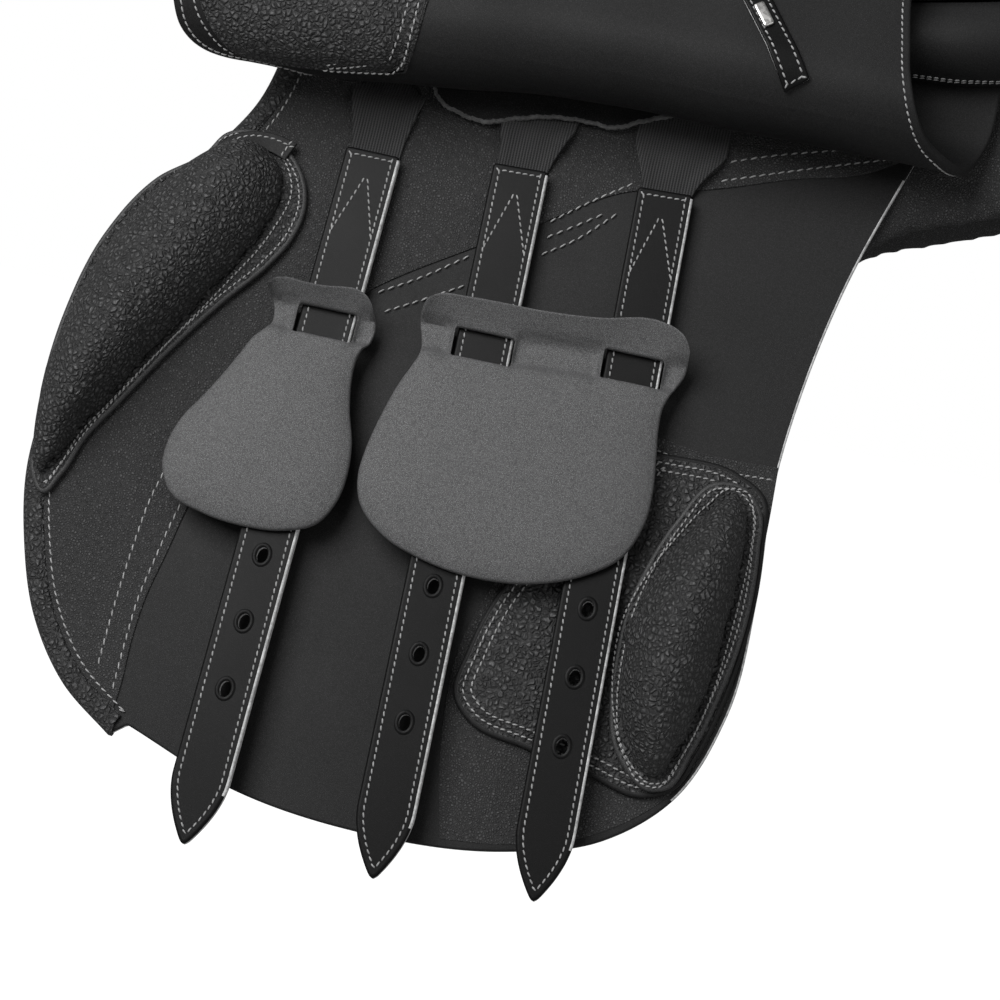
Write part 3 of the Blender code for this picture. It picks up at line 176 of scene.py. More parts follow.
# Girth straps: along and down of the top, turn in degrees, length, last hole from the tip
Strap = namedtuple("Strap", "along down turn length last_hole")
STRAPS = {
    "1": Strap(-137, 30, -0.6, 320, 69),
    "2": Strap(-70.5, 23, 2.0, 323, 68),
    "3": Strap(-5, 20, 2.4, 320, 67),
}
STRAP_BODY = {"1": "front_girth_strap", "2": "rear_girth_straps", "3": "rear_girth_straps"}
STRAP_WIDTH, STRAP_THICKNESS, STRAP_TIP, TIP_POWER, TIP_ROUND = 25, 5, 31, 1.85, 3.5
STRAP_STANDOFF, STRAP_LEAN_OUT = 2.6, radians(-1.6)
V_TOP, V_FOOT_DOWN = (0.6, 13), 41
HOLE_COUNT, HOLE_PITCH, HOLE_CUT = 5, 30, (2.6, 3.7)
HOLE_RIM = ((0.1, -1.2), (0.1, 0.1), (-0.5, 0.42), (-1.3, 0.36), (-1.9, -0.05), (-1.9, -1.2))
HINGE_DOWN = {"front_girth_strap": 10, "rear_girth_straps": 8}

# Webs: half width and middle at the top, the nodes of their roots, the (down, level) places
# where the first comes through the slot and the others lie on the face, their thickness,
# their reach behind the strap, and half the length over which they bend at the hinge
WEBS = {"1": (17, -138), "2": (17.5, -68), "3": (21, -3)}
WEB_ROOTS = {"1": ["web_root_1"], "2": ["web_root_2"], "3": []}
SLOT_WEB_START = ((-56, -5.6), (-20, -5.4), (-9, -4.6), (-3, -1.2), (2, 2.2), (8, 3.1))
FACE_WEB_START = ((-56, 0.9), (-20, 1.0), (-8, 1.5), (0, 3.1), (6, 4.6), (12, 3.6))
WEB_THICKNESS, WEB_BEHIND, WEB_BEND = 1.6, 14, 7

# Buckle guards: the windows' tops, height, half width and cut corners, the leather's levels,
# the power of the lip's curl, the body's step, its fall to the edge, and how far the waist,
# the cheeks and the corners under the windows are drawn in
WINDOW_DOWN = {"1": 107.5, "2": 103, "3": 98.5}
WINDOW_HEIGHT, WINDOW_HALF, WINDOW_CORNER = 13.2, 13.4, 0.7
GUARD_BACK, GUARD_FRONT, LIP_POWER = 5.6, 8.4, 1.15
GUARD_STEP, GUARD_EDGE, GUARD_WAIST, GUARD_CHEEK, GUARD_DRAW = 1.4, 0.9, 2.2, 0.9, 1.3

# Blocks: the power of their domes, how far above the flange the cloth is held, where the
# knee block is sewn, and the radius of the piping
DOME_POWER, HELD_RISE, PIPE_RADIUS = 0.8, 2.5, 1.5
KNEE_SEWN = ((-242, 210), (-207, 40))

# Cloth that puffs the padded pieces, its frames, and the panels' held middle in metres
CLOTH_SETTINGS = {
    "quality": 5, "mass": 0.15, "tension_stiffness": 12, "compression_stiffness": 12,
    "shear_stiffness": 6, "bending_stiffness": 0.8, "use_pressure": True,
}
CLOTH_FRAMES, PANEL_HELD = 20, 0.03

# Flap: its thickness and standoff, where it leaves the face, the leaf's fold (up, out) and
# turn, how far the roll sags, from where and over what run; and the turns at which its
# pieces are cut
FLAP_THICKNESS, FLAP_STANDOFF, FLAP_ROLL_DOWN = 4.2, 6, -33
LEAF_FOLD, LEAF_TURN = (20, 55.2), radians(186)
FLAP_SAG, FLAP_SAG_FROM, FLAP_SAG_RUN = 16, -20, 190
FLAP_CUTS = (radians(50), radians(130))
LEAF_OUTLINE = (
    (-172, -89, 1), (-172, -58), (-176, -50), (-186, -45.5), (-196, -44), (-206, -43.5),
    (-214, -41), (-221, -36), (-227, -28), (-231, -17), (-236, 4), (-244, 44), (-256, 104),
    (-264, 158), (-266, 206), (-256, 252), (-234, 290), (-196, 312), (-130, 323), (-50, 326),
    (20, 316), (60, 292), (80, 252), (87, 204), (86, 150), (83, 100), (81.5, 70), (82, 51),
    (85, 32), (89, 13), (95, -1), (103, -13), (111, -21), (119, -32), (125, -46), (130, -62),
    (131, -89, 1),
)
PATCH_OUTLINE = (
    (-219, -15), (-215, -22), (-209, -30), (-203, -36), (-195, -39), (-180, -39), (-160, -36),
    (-138, -32.5), (-126, -28.5, 1), (-122.5, -12), (-121, 4), (-119, 50), (-121, 110),
    (-130, 170), (-146, 222), (-170, 262), (-196, 280), (-222, 276), (-243, 245), (-252, 204),
    (-251, 160), (-244, 112), (-233, 60), (-224, 10),
)
PATCH_ROWS = (
    ((-140, 200), (-131, 150), (-124.5, 100), (-123, 50), (-124.5, 4), (-125.5, -12), (-128, -24),
     (-132, -29.5, 1), (-146, -32), (-163, -35)),
    ((-148, 200), (-136, 150), (-129, 100), (-127.5, 50), (-129, 4), (-130.3, -11), (-133, -22, 1),
     (-143, -27), (-160, -33)),
    ((-155, 200), (-141, 150), (-134, 100), (-132.5, 50), (-134, 4), (-135.5, -11), (-138, -19, 1),
     (-147, -24), (-161, -31.5)),
)
LEAF_BAND_ROW = (
    (-203, -38.5), (-209.5, -33), (-215, -26.5), (-220, -19), (-224, -8), (-230, 20), (-238, 60),
    (-248, 112), (-256, 160), (-258, 206),
)
KEEPER_START, KEEPER_END, KEEPER_WIDTH, KEEPER_THICKNESS = (42, 2), (-8, 70), 11.5, 2.4
KEEPER_PLATE_START, KEEPER_PLATE_END, KEEPER_PLATE_WIDTH = (25, 23), (18, 32.5), 5

# Skirt: (along, down, height) of its lower edge, its thickness and bulge, and two places
# (x, across, height) on its hinge line
SKIRT_LINE = (
    (-174, -65, 28), (-170, -61, 29), (-158, -53, 31), (-135, -46, 32), (-100, -43, 31),
    (-50, -44, 28), (0, -46, 24), (60, -47, 20), (110, -52, 17), (140, -60, 13), (158, -74, 6),
)
SKIRT_THICKNESS, SKIRT_BULGE = 3.4, 12
SKIRT_AXIS = ((-150, 86, 40), (100, 139, 31))

# Seat: (x, height at the middle, half width, height at the edge)
SEAT_LINE = (
    (-222, 103, 28, 88), (-212, 111, 48, 76), (-190, 107, 68, 62), (-150, 89, 86, 49),
    (-100, 71, 96, 41), (-50, 62, 104, 37), (0, 59, 118, 34), (50, 61, 131, 34),
    (100, 69, 139, 41), (150, 86, 136, 58), (190, 110, 118, 86), (215, 131, 88, 114),
    (230, 144, 52, 136), (236, 147, 26, 144),
)
SEAT_CROWN, SEAT_THICKNESS, SEAT_EDGE = 2.4, 16, 6


def shift(x=0.0, y=0.0, z=0.0):
    """Matrix that moves by (x, y, z)."""
    matrix = np.eye(4)
    matrix[:3, 3] = (x, y, z)
    return matrix


def turn(axis, angle):
    """Matrix that turns about an axis."""
    return np.array(Matrix.Rotation(angle, 4, axis))


def mirrored(points, side):
    """Points of the near side, reflected in the plane of the spine for the far side."""
    return points if side == "L" else points * MIRROR


def side_body(body, side):
    """Name of a body on one side. The saddle, and no body, are the same on both."""
    return body if body in (None, "saddle") else f"{body}_{side}"


def unit(vectors):
    """Vectors divided by their lengths."""
    return vectors / np.maximum(np.linalg.norm(vectors, axis=-1, keepdims=True), 1e-9)


def smooth(f):
    """Smooth step 3f^2 - 2f^3 between 0 and 1."""
    f = np.clip(f, 0, 1)
    return f * f * (3 - 2 * f)


def bell(offset, width):
    """Bell e^-(offset / width)^2: 1 in the middle, falling to both sides."""
    return np.exp(-((offset / width) ** 2))


def hermite(f, start, leave, end, arrive):
    """Cubic from start to end as f goes from 0 to 1, with the tangents leave and arrive."""
    fine = start * (2 * f**3 - 3 * f**2 + 1) + leave * (f**3 - 2 * f**2 + f)
    return fine + end * (3 * f**2 - 2 * f**3) + arrive * (f**3 - f**2)


def xy(x, y):
    """Points of two coordinates."""
    return np.stack([x, y], -1)


def flat(x, y):
    """Level of leather without relief: 0."""
    return np.zeros_like(x)


def round_again(line):
    """A closed line with its first point again at its end."""
    return np.concatenate([line, line[:1]])


class Shape:
    """Surfaces gathered into one piece: points, faces, and the finish of each face."""

    def __init__(self):
        self.points, self.quads, self.tris = [], [], []
        self.quad_marks, self.tri_marks = [], []
        self.count = 0

    def add(self, points, quads=(), tris=(), mark=0):
        """Takes in points and the faces between them. The mark is the finish of the faces,
        or one for each quad, with the triangles in the first finish."""
        points = np.asarray(points, float).reshape(-1, 3)
        quads = np.asarray(quads, int).reshape(-1, 4)
        tris = np.asarray(tris, int).reshape(-1, 3)
        self.points.append(points)
        self.quads.append(quads + self.count)
        self.tris.append(tris + self.count)
        self.quad_marks.append(np.full(len(quads), mark))
        self.tri_marks.append(np.full(len(tris), mark if np.ndim(mark) == 0 else 0))
        self.count += len(points)
        return self

    def join(self, other, matrix=None):
        """Takes in another shape, carried by a matrix if one is given."""
        points = np.concatenate(other.points)
        if matrix is not None:
            points = points @ matrix[:3, :3].T + matrix[:3, 3]
        self.points.append(points)
        self.quads += [quads + self.count for quads in other.quads]
        self.tris += [tris + self.count for tris in other.tris]
        self.quad_marks += other.quad_marks
        self.tri_marks += other.tri_marks
        self.count += len(points)
        return self

    def arrays(self):
        """Points, quads, triangles, and the marks of the quads and of the triangles."""
        parts = (self.points, self.quads, self.tris, self.quad_marks, self.tri_marks)
        return [np.concatenate(part) for part in parts]


def grid_faces(rows, columns, closed=True):
    """Quads of a grid of rows and columns, the columns wrapped round if closed."""
    i = np.arange(rows - 1)[:, None] * columns
    j = np.arange(columns if closed else columns - 1)[None, :]
    k = (j + 1) % columns
    return np.stack([i + j, i + k, i + columns + k, i + columns + j], -1).reshape(-1, 4)


def capped(shape, rows, order):
    """Shape with both ends of its tube of rows closed by triangles to each end's middle.
    They keep their order at the first end for `order` 1, and at the last end for -1."""
    j = np.arange(rows.shape[1])
    tris = np.stack([j, (j + 1) % len(j), np.full(len(j), len(j))], -1)
    for row, way in ((rows[0], order), (rows[-1], -order)):
        shape.add(np.vstack([row, row.mean(0)]), tris=tris[:, ::way])
    return shape


def slab(front, back):
    """Closed skin of two grids of points: the front's rows run on into the back's, turned
    round, and a strip of faces closes each end."""
    rows = np.concatenate([front, back[:, ::-1]], 1)
    shape = Shape().add(rows, grid_faces(len(rows), rows.shape[1]))
    last = rows.shape[1] - 1
    k = np.arange(front.shape[1] - 1)
    strip = np.stack([k, k + 1, last - 1 - k, last - k], -1)
    return shape.add(rows[0], strip).add(rows[-1], strip[:, ::-1])


def curve_through(knots, closed=True, spacing=1.5):
    """Curve through (along, down) knots, given back as (x, y) about `spacing` apart.

    Cubic Hermite pieces: at a smooth knot the tangent is the mean of its two directions,
    weighted by the other piece's length; at a knot with a third entry each piece keeps its own.
    """
    knot = np.array([[k[0], -k[1]] for k in knots], float)
    sharp = np.array([len(k) > 2 for k in knots])
    after, before = np.roll(knot, -1, 0), np.roll(knot, 1, 0)
    ahead = np.linalg.norm(after - knot, axis=1, keepdims=True)
    back = np.linalg.norm(knot - before, axis=1, keepdims=True)
    mean = unit(unit(after - knot) * back + unit(knot - before) * ahead)
    if not closed:
        sharp[0] = sharp[-1] = True
    leave = np.where(sharp[:, None], unit(after - knot), mean) * ahead
    arrive = np.roll(np.where(sharp[:, None], unit(knot - before), mean) * back, -1, 0)
    f = np.linspace(0, 1, STEPS_PER_KNOT, endpoint=False)[None, :, None]
    fine = hermite(f, knot[:, None], leave[:, None], after[:, None], arrive[:, None])
    fine = fine[: len(knot) if closed else len(knot) - 1].reshape(-1, 2)
    fine = np.vstack([fine, knot[:1] if closed else knot[-1:]])
    return even(fine, spacing, closed)


def even(path, spacing, closed=False):
    """Points evenly spaced along a path of straight runs."""
    run = np.concatenate([[0], np.cumsum(np.linalg.norm(np.diff(path, axis=0), axis=1))])
    count = max(3, int(round(run[-1] / spacing)))
    at = np.linspace(0, run[-1], count + 1)
    points = np.stack([np.interp(at, run, path[:, k]) for k in range(path.shape[1])], -1)
    return points[:-1] if closed else points


def oriented(loop, anticlockwise=True):
    """The loop, turned round if it runs the other way."""
    x, y = loop[:, 0], loop[:, 1]
    area = np.sum(x * np.roll(y, -1) - y * np.roll(x, -1))
    return loop if (area > 0) == anticlockwise else loop[::-1]


def inset(loop, distance, closed=True):
    """A loop moved to the left of its own direction by a distance, which may differ from
    point to point."""
    run = np.roll(loop, -1, 0) - np.roll(loop, 1, 0) if closed else np.gradient(loop, axis=0)
    run = unit(run)
    return loop + np.stack([-run[:, 1], run[:, 0]], -1) * np.reshape(distance, (-1, 1))


def with_level(loop, level):
    """(x, y) points given one level, or one each."""
    return np.column_stack([loop, np.broadcast_to(level, len(loop))])


def edge_rows(top, low, rounding):
    """Inset and level down a rounded edge: a quarter circle, the side, a quarter circle."""
    angle = np.linspace(0, pi / 2, 4)
    upper = np.stack([rounding * (1 - np.sin(angle)), top - rounding * (1 - np.cos(angle))], -1)
    lower = np.stack([upper[::-1, 0], low + top - upper[::-1, 1]], -1)
    rim = rounding + EDGE_FLAT
    return np.vstack([[[rim, top]], upper, lower, [[rim, low]]])


def edge_marks(columns, wall, rounded=0):
    """Finish of each face down an edge: the wall between its roundings, and the roundings,
    which may differ from column to column."""
    marks = np.zeros((EDGE_BANDS, columns), int)
    marks[1:-1] = rounded
    marks[EDGE_BANDS // 2] = wall
    if np.ndim(rounded) == 0:
        marks[0] = rounded
    return marks.ravel()


def plate(outer, holes=(), top=0.0, thickness=1.0, rounding=0.5, edge=0, rounded=0):
    """Flat leather with rounded edges: an edge profile carried round each loop, filled flat
    between the loops in front and behind. `rounded` may be a function of the loop."""
    shape = Shape()
    faces = {0: [], -1: []}
    for k, loop in enumerate((outer, *holes)):
        loop = oriented(loop, k == 0)
        rows = edge_rows(top, top - thickness, rounding)
        points = np.stack([with_level(inset(loop, row[0]), row[1]) for row in rows])
        cut = rounded(loop) if callable(rounded) else rounded
        shape.add(points, grid_faces(len(rows), len(loop)), mark=edge_marks(len(loop), edge, cut))
        for end in faces:
            faces[end].append(points[end])
    for end, loops in faces.items():
        tris = np.array(tessellate_polygon([[Vector(point) for point in loop] for loop in loops]))
        shape.add(np.concatenate(loops), tris=tris if end == 0 else tris[:, ::-1])
    return shape


def stitches(path, levels, size, normal=(0, 0, 1), scale=1.0):
    """Stitches along a path of (x, y), or of (x, y, z) with levels None.

    One stitch is a bar whose radius is STITCH_ROUND and whose height above the leather
    falls as the square of the place along it, so that both ends go into the leather. It
    stands a little askew to the path. `scale` makes a row's stitches longer or shorter.
    """
    path = np.asarray(path, float)
    if levels is not None:
        path = with_level(path[:, :2], levels)
    run = np.concatenate([[0], np.cumsum(np.linalg.norm(np.diff(path, axis=0), axis=1))])
    length = size.stitch_length * scale
    count = max(1, int(run[-1] / (length + size.stitch_gap * scale)))
    at = (np.arange(count) + 0.5) * run[-1] / count

    def spot(places):
        return np.stack([np.interp(places, run, path[:, k]) for k in range(3)], -1)

    along = unit(spot(at + STITCH_REACH) - spot(at - STITCH_REACH))
    up = unit(np.broadcast_to(np.asarray(normal, float), along.shape))
    aside = unit(np.cross(up, along))
    up = np.cross(along, aside)
    turned = along * cos(STITCH_SKEW) + aside * sin(STITCH_SKEW)
    aside = np.cross(up, turned)
    angle = np.arange(STITCH_SIDES) * 2 * pi / STITCH_SIDES
    x = np.repeat(STITCH_X, STITCH_SIDES) * length
    thick = size.stitch_thickness / 2
    y = np.outer(STITCH_ROUND, np.cos(angle)).ravel() * thick
    z = np.outer(STITCH_ROUND, np.sin(angle)).ravel() * thick
    z = z + thick * STITCH_LIFT - (x / length * 2) ** 2 * thick * STITCH_BEND
    points = spot(at)[:, None] + turned[:, None] * x[:, None]
    points = points + aside[:, None] * y[:, None] + up[:, None] * z[:, None]
    faces = grid_faces(len(STITCH_X), STITCH_SIDES)[None] + (np.arange(count) * len(x))[:, None, None]
    return Shape().add(points, faces)


def new_mesh(name, points, quads, tris, marks):
    """Mesh of those points and faces."""
    mesh = bpy.data.meshes.new(name)
    corners = np.concatenate([quads.ravel(), tris.ravel()]).astype(np.int32)
    totals = np.repeat([4, 3], [len(quads), len(tris)]).astype(np.int32)
    starts = np.concatenate([[0], np.cumsum(totals)[:-1]]).astype(np.int32)
    mesh.vertices.add(len(points))
    mesh.vertices.foreach_set("co", points.astype(np.float32).ravel())
    mesh.loops.add(len(corners))
    mesh.loops.foreach_set("vertex_index", corners)
    mesh.polygons.add(len(totals))
    mesh.polygons.foreach_set("loop_start", starts)
    mesh.polygons.foreach_set("loop_total", totals)
    mesh.polygons.foreach_set("material_index", marks.astype(np.int32))
    mesh.update(calc_edges=True)
    mesh.validate()
    return mesh


def tidy_mesh(mesh, weld=0.00002):
    """Merges doubled points and turns the faces outwards."""
    bm = bmesh.new()
    bm.from_mesh(mesh)
    bmesh.ops.remove_doubles(bm, verts=bm.verts, dist=weld)
    bmesh.ops.dissolve_degenerate(bm, edges=bm.edges, dist=weld / 10)
    bmesh.ops.recalc_face_normals(bm, faces=bm.faces)
    bm.to_mesh(mesh)
    bm.free()


def finish_piece(name, mesh, finishes, body, nodes=(), sharp=50):
    """Object of a finished mesh that rides on a body and stands for CAD nodes."""
    mesh.shade_smooth()
    mesh.set_sharp_from_angle(angle=radians(sharp))
    piece = bpy.data.objects.new(name, mesh)
    bpy.context.scene.collection.objects.link(piece)
    for finish in finishes:
        piece.data.materials.append(material(finish))
    if body:
        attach(piece, body)
    if nodes:
        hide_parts(*nodes)
    return piece


def world_points(points, side):
    """Points of the side's frame in metres in the saddle's frame."""
    return mirrored(FACE_ORIGIN + points * MM @ FACE_AXES, side)


def side_pieces(
    name, shape, finishes, body="saddle", nodes=(), sharp=50, tidy=True, world=False
):
    """The near and the far piece of one shape, given in the side's frame or, with `world`,
    in the saddle's. Each rides on its side's body, or on none. Returns both."""
    points, quads, tris, *marks = shape.arrays()
    made = []
    for side in "LR":
        placed = mirrored(points * MM, side) if world else world_points(points, side)
        order = slice(None) if side == "L" else slice(None, None, -1)
        mesh = new_mesh(f"{name}_{side}", placed, quads[:, order], tris[:, order], np.concatenate(marks))
        if tidy:
            tidy_mesh(mesh)
        own = [f"{node}_{side}" for node in nodes]
        made.append(finish_piece(f"{name}_{side}", mesh, finishes, side_body(body, side), own, sharp))
    return made


def sewing(name, rows, body="saddle", world=False):
    """Visible stitches of a piece, near and far."""
    side_pieces(f"{name}_stitching", rows, ("thread",), body, tidy=False, world=world)


def bend_between(made):
    """Bakes each of the near and the far piece's placement into its mesh."""
    for piece, side in zip(made, "LR"):
        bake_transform(piece)


# Finishes

GROUPS = {}
MATERIALS = {}
SOCKET_KINDS = {"Vector": "NodeSocketVector", "Colour": "NodeSocketColor"}


def feed(tree, sockets, values):
    """Links or sets sockets, each named or numbered in `values`."""
    for key, value in values.items():
        if isinstance(value, bpy.types.NodeSocket):
            tree.links.new(value, sockets[key])
        else:
            sockets[key].default_value = value


def add_node(tree, kind, settings=None, **inputs):
    """Adds a node, sets its own settings and its input values or links. An input is named
    by its socket, with _ for a space, or by i and its number."""
    node = tree.nodes.new(kind)
    for key, value in (settings or {}).items():
        setattr(node, key, value)
    for key, value in inputs.items():
        numbered = key[0] == "i" and key[1:].isdigit()
        feed(tree, node.inputs, {int(key[1:]) if numbered else key.replace("_", " "): value})
    return node


def maths(tree, operation, a, b=0.0):
    """Math node's result."""
    return add_node(tree, "ShaderNodeMath", {"operation": operation}, i0=a, i1=b).outputs[0]


def ramp(tree, value, low, high, out_low=0.0, out_high=1.0):
    """Smooth step of a value between two levels."""
    node = add_node(
        tree, "ShaderNodeMapRange", {"interpolation_type": "SMOOTHSTEP"}, Value=value, From_Min=low,
        From_Max=high, To_Min=out_low, To_Max=out_high,
    )
    return node.outputs[0]


def vector(tree, operation, a, **inputs):
    """Vector math node's result."""
    return add_node(tree, "ShaderNodeVectorMath", {"operation": operation}, i0=a, **inputs).outputs[0]


def noise(tree, place, scale, detail, **inputs):
    """Outputs of a noise texture."""
    return add_node(tree, "ShaderNodeTexNoise", Vector=place, Scale=scale, Detail=detail, **inputs).outputs


def cell_edge(tree, place, scale):
    """Distance to the edge of the cell that a place lies in."""
    cells = add_node(
        tree, "ShaderNodeTexVoronoi", {"feature": "DISTANCE_TO_EDGE"}, Vector=place, Scale=scale
    )
    return cells.outputs["Distance"]


def new_group(name, inputs, outputs):
    """Shader node group with named sockets, its inputs with their values or None: the
    tree, what its inputs give, and the sockets of its outputs."""
    group = bpy.data.node_groups.new(name, "ShaderNodeTree")
    for label, value in inputs.items():
        kind = SOCKET_KINDS.get(label, "NodeSocketFloat")
        socket = group.interface.new_socket(label, in_out="INPUT", socket_type=kind)
        if value is not None:
            socket.default_value = value
    for label in outputs:
        kind = SOCKET_KINDS.get(label, "NodeSocketFloat")
        group.interface.new_socket(label, in_out="OUTPUT", socket_type=kind)
    return group, group.nodes.new("NodeGroupInput").outputs, group.nodes.new("NodeGroupOutput").inputs


def grain_group():
    """Pebbled hide: cells parted by creases, bent by noise, with fine wrinkles over them.
    Height is the crest of each cell times that of its larger cell, plus the wrinkles."""
    group, given, out = new_group(
        "hide_grain", {"Vector": None, "Cells": 600.0, "Crease": 0.22, "Wrinkle": 0.25}, ("Height", "Crest")
    )
    calc = partial(maths, group)
    place, cells = given["Vector"], given["Cells"]
    larger = calc("MULTIPLY", cells, 0.45)
    bend = vector(group, "SUBTRACT", noise(group, place, larger, 2.0)["Color"], i1=(0.5, 0.5, 0.5))
    bend = vector(group, "SCALE", bend, Scale=calc("DIVIDE", 1.5, cells))
    bent = vector(group, "ADD", place, i1=bend)
    crest = ramp(group, cell_edge(group, bent, cells), 0.0, given["Crease"])
    broad = ramp(group, cell_edge(group, bent, larger), 0.0, 0.16, 0.55, 1.0)
    fine = noise(group, place, calc("MULTIPLY", cells, 2.6), 3.0)["Fac"]
    wrinkle = calc("MULTIPLY", fine, given["Wrinkle"])
    height = calc("ADD", calc("MULTIPLY", crest, broad), wrinkle)
    feed(group, out, {"Height": height, "Crest": crest})
    return group


def tone_and_crease_shade_group():
    """Handled hide: slow changes of tone and of gloss from use and from dressing. The
    colour is darker in the creases between the crests, painted shade, and the gloss duller."""
    group, given, out = new_group(
        "hide_handling",
        {
            "Vector": None, "Colour": (0.02, 0.02, 0.02, 1), "Variation": 0.25, "Roughness": 0.5,
            "Crest": 1.0,
        },
        ("Colour", "Roughness"),
    )
    calc = partial(maths, group)
    slow = noise(group, given["Vector"], 28.0, 4.0)["Fac"]
    quick = noise(group, given["Vector"], 420.0, 3.0)["Fac"]
    both = calc("ADD", calc("MULTIPLY", slow, 0.65), calc("MULTIPLY", quick, 0.35))
    centred = calc("SUBTRACT", both, 0.5)
    shade = calc("ADD", calc("MULTIPLY", centred, given["Variation"]), 1.0)
    # painted shade: the colour is darker in the creases between the crests
    crease_shade = calc("ADD", calc("MULTIPLY", given["Crest"], 0.72), 0.28)
    colour = vector(group, "SCALE", given["Colour"], Scale=calc("MULTIPLY", shade, crease_shade))
    gloss = calc("ADD", given["Roughness"], calc("MULTIPLY", centred, 0.22))
    crease = calc("MULTIPLY", calc("SUBTRACT", 1.0, given["Crest"]), 0.12)
    feed(group, out, {"Colour": colour, "Roughness": calc("ADD", gloss, crease)})
    return group


def weave_group():
    """Ribbed webbing: ribs across x are sines, and weft picks that bend over them in turn
    are sines along z, moved on by half a turn at every other rib."""
    group, given, out = new_group(
        "web_weave", {"Vector": None, "Rib": 0.0013, "Pick": 0.0008}, ("Height", "Shade")
    )
    calc = partial(maths, group)
    split = add_node(group, "ShaderNodeSeparateXYZ", Vector=given["Vector"]).outputs
    turns_x = calc("MULTIPLY", calc("DIVIDE", split["X"], given["Rib"]), 2 * pi)
    turns_z = calc("MULTIPLY", calc("DIVIDE", split["Z"], given["Pick"]), 2 * pi)
    rib = calc("SINE", turns_x)
    half = calc("MULTIPLY", calc("SIGN", calc("SINE", calc("MULTIPLY", turns_x, 0.5))), pi / 2)
    pick = calc("SINE", calc("ADD", turns_z, half))
    height = calc("ADD", calc("MULTIPLY", rib, 0.6), calc("MULTIPLY", pick, 0.4))
    feed(group, out, {"Height": height, "Shade": ramp(group, height, -0.7, 0.7, 0.3, 1.25)})
    return group


def fibre_group():
    """Flesh side of leather: short fibres in tufts, worked out from stretched noise."""
    group, given, out = new_group("raw_fibre", {"Vector": None, "Scale": 900.0}, ("Height", "Shade"))
    fine = noise(group, given["Vector"], given["Scale"], 6.0, Roughness=0.75)["Fac"]
    tuft = noise(group, given["Vector"], 160.0, 3.0, Distortion=1.5)["Fac"]
    height = maths(group, "ADD", fine, maths(group, "MULTIPLY", tuft, 0.8))
    feed(group, out, {"Height": height, "Shade": ramp(group, height, 0.55, 1.25, 0.5, 1.35)})
    return group


def group_node(tree, name, maker, **inputs):
    """Outputs of a shared group's node. The group is made the first time it is asked for."""
    if name not in GROUPS:
        GROUPS[name] = maker()
    node = tree.nodes.new("ShaderNodeGroup")
    node.node_tree = GROUPS[name]
    feed(tree, node.inputs, inputs)
    return node.outputs


def start_material(name, specular=0.35, metallic=0.0, roughness=0.5):
    """Material, its tree, its shader and object coordinates."""
    made = bpy.data.materials.new(name)
    made.use_nodes = True
    tree = made.node_tree
    shader = tree.nodes["Principled BSDF"]
    plain = {"Specular IOR Level": specular, "Metallic": metallic, "Roughness": roughness}
    feed(tree, shader.inputs, plain)
    place = tree.nodes.new("ShaderNodeTexCoord").outputs["Object"]
    return made, tree, shader, place


def bump(tree, shader, height, distance):
    """Relief of a height, times a distance in millimetres, into the shader's normal."""
    node = add_node(tree, "ShaderNodeBump", Height=height, Distance=distance * MM, Strength=1.0)
    feed(tree, shader.inputs, {"Normal": node.outputs["Normal"]})


def shaded(tree, shader, colour, shade):
    """Base colour: one colour times a value that changes over the surface."""
    feed(tree, shader.inputs, {"Base Color": vector(tree, "SCALE", colour, Scale=shade)})


def hide(
    name, colour, roughness, specular, pebble, depth, crease=0.4, wrinkle=1.0, variation=0.3, coat=0.0
):
    """Leather: grain gives the relief; handling gives the tone, with painted shade in the creases, and the
    gloss.
    """
    made, tree, shader, place = start_material(name, specular)
    grain = group_node(
        tree, "hide_grain", grain_group, Vector=place, Cells=1 / (pebble * MM), Crease=crease,
        Wrinkle=wrinkle,
    )
    look = group_node(
        tree, "hide_handling", tone_and_crease_shade_group, Vector=place, Colour=(*colour, 1), Variation=variation,
        Roughness=roughness, Crest=grain["Crest"],
    )
    gloss = {"Roughness": look["Roughness"], "Coat Weight": coat, "Coat Roughness": 0.25}
    feed(tree, shader.inputs, {"Base Color": look["Colour"], **gloss})
    bump(tree, shader, grain["Height"], depth)
    return made


def cloth_web(name, colour):
    """Webbing: the weave gives relief and shade."""
    made, tree, shader, place = start_material(name, 0.2, roughness=0.85)
    weave = group_node(tree, "web_weave", weave_group, Vector=place)
    shaded(tree, shader, colour, weave["Shade"])
    shader.inputs["Sheen Weight"].default_value = 0.15
    bump(tree, shader, weave["Height"], 0.22)
    return made


def raw_hide(name, colour, scale, depth):
    """Raw leather: fibres give relief and shade."""
    made, tree, shader, place = start_material(name, 0.2, roughness=0.9)
    fibre = group_node(tree, "raw_fibre", fibre_group, Vector=place, Scale=scale)
    shaded(tree, shader, colour, fibre["Shade"])
    shader.inputs["Sheen Weight"].default_value = 0.2
    bump(tree, shader, fibre["Height"], depth)
    return made


def thread(name, colour):
    """Waxed thread: a fine twist by noise, slightly uneven in tone, with painted shade where the twist lies
    low.
    """
    made, tree, shader, place = start_material(name, 0.4, roughness=0.6)
    fibre = group_node(tree, "raw_fibre", fibre_group, Vector=place, Scale=2600.0)
    # painted shade: the thread is darker where its fibres lie low
    shaded(tree, shader, colour, ramp(tree, fibre["Shade"], 0.5, 1.35, 0.7, 1.15))
    bump(tree, shader, fibre["Height"], 0.08)
    return made


def plated(name, colour):
    """Plated steel: bright, with faint rubbed streaks in its gloss."""
    made, tree, shader, place = start_material(name, 0.5, metallic=1.0)
    rub = noise(tree, place, 300.0, 4.0, Distortion=0.6)["Fac"]
    gloss = ramp(tree, rub, 0.3, 0.75, 0.24, 0.42)
    feed(tree, shader.inputs, {"Base Color": (*colour, 1), "Roughness": gloss})
    bump(tree, shader, rub, 0.02)
    return made


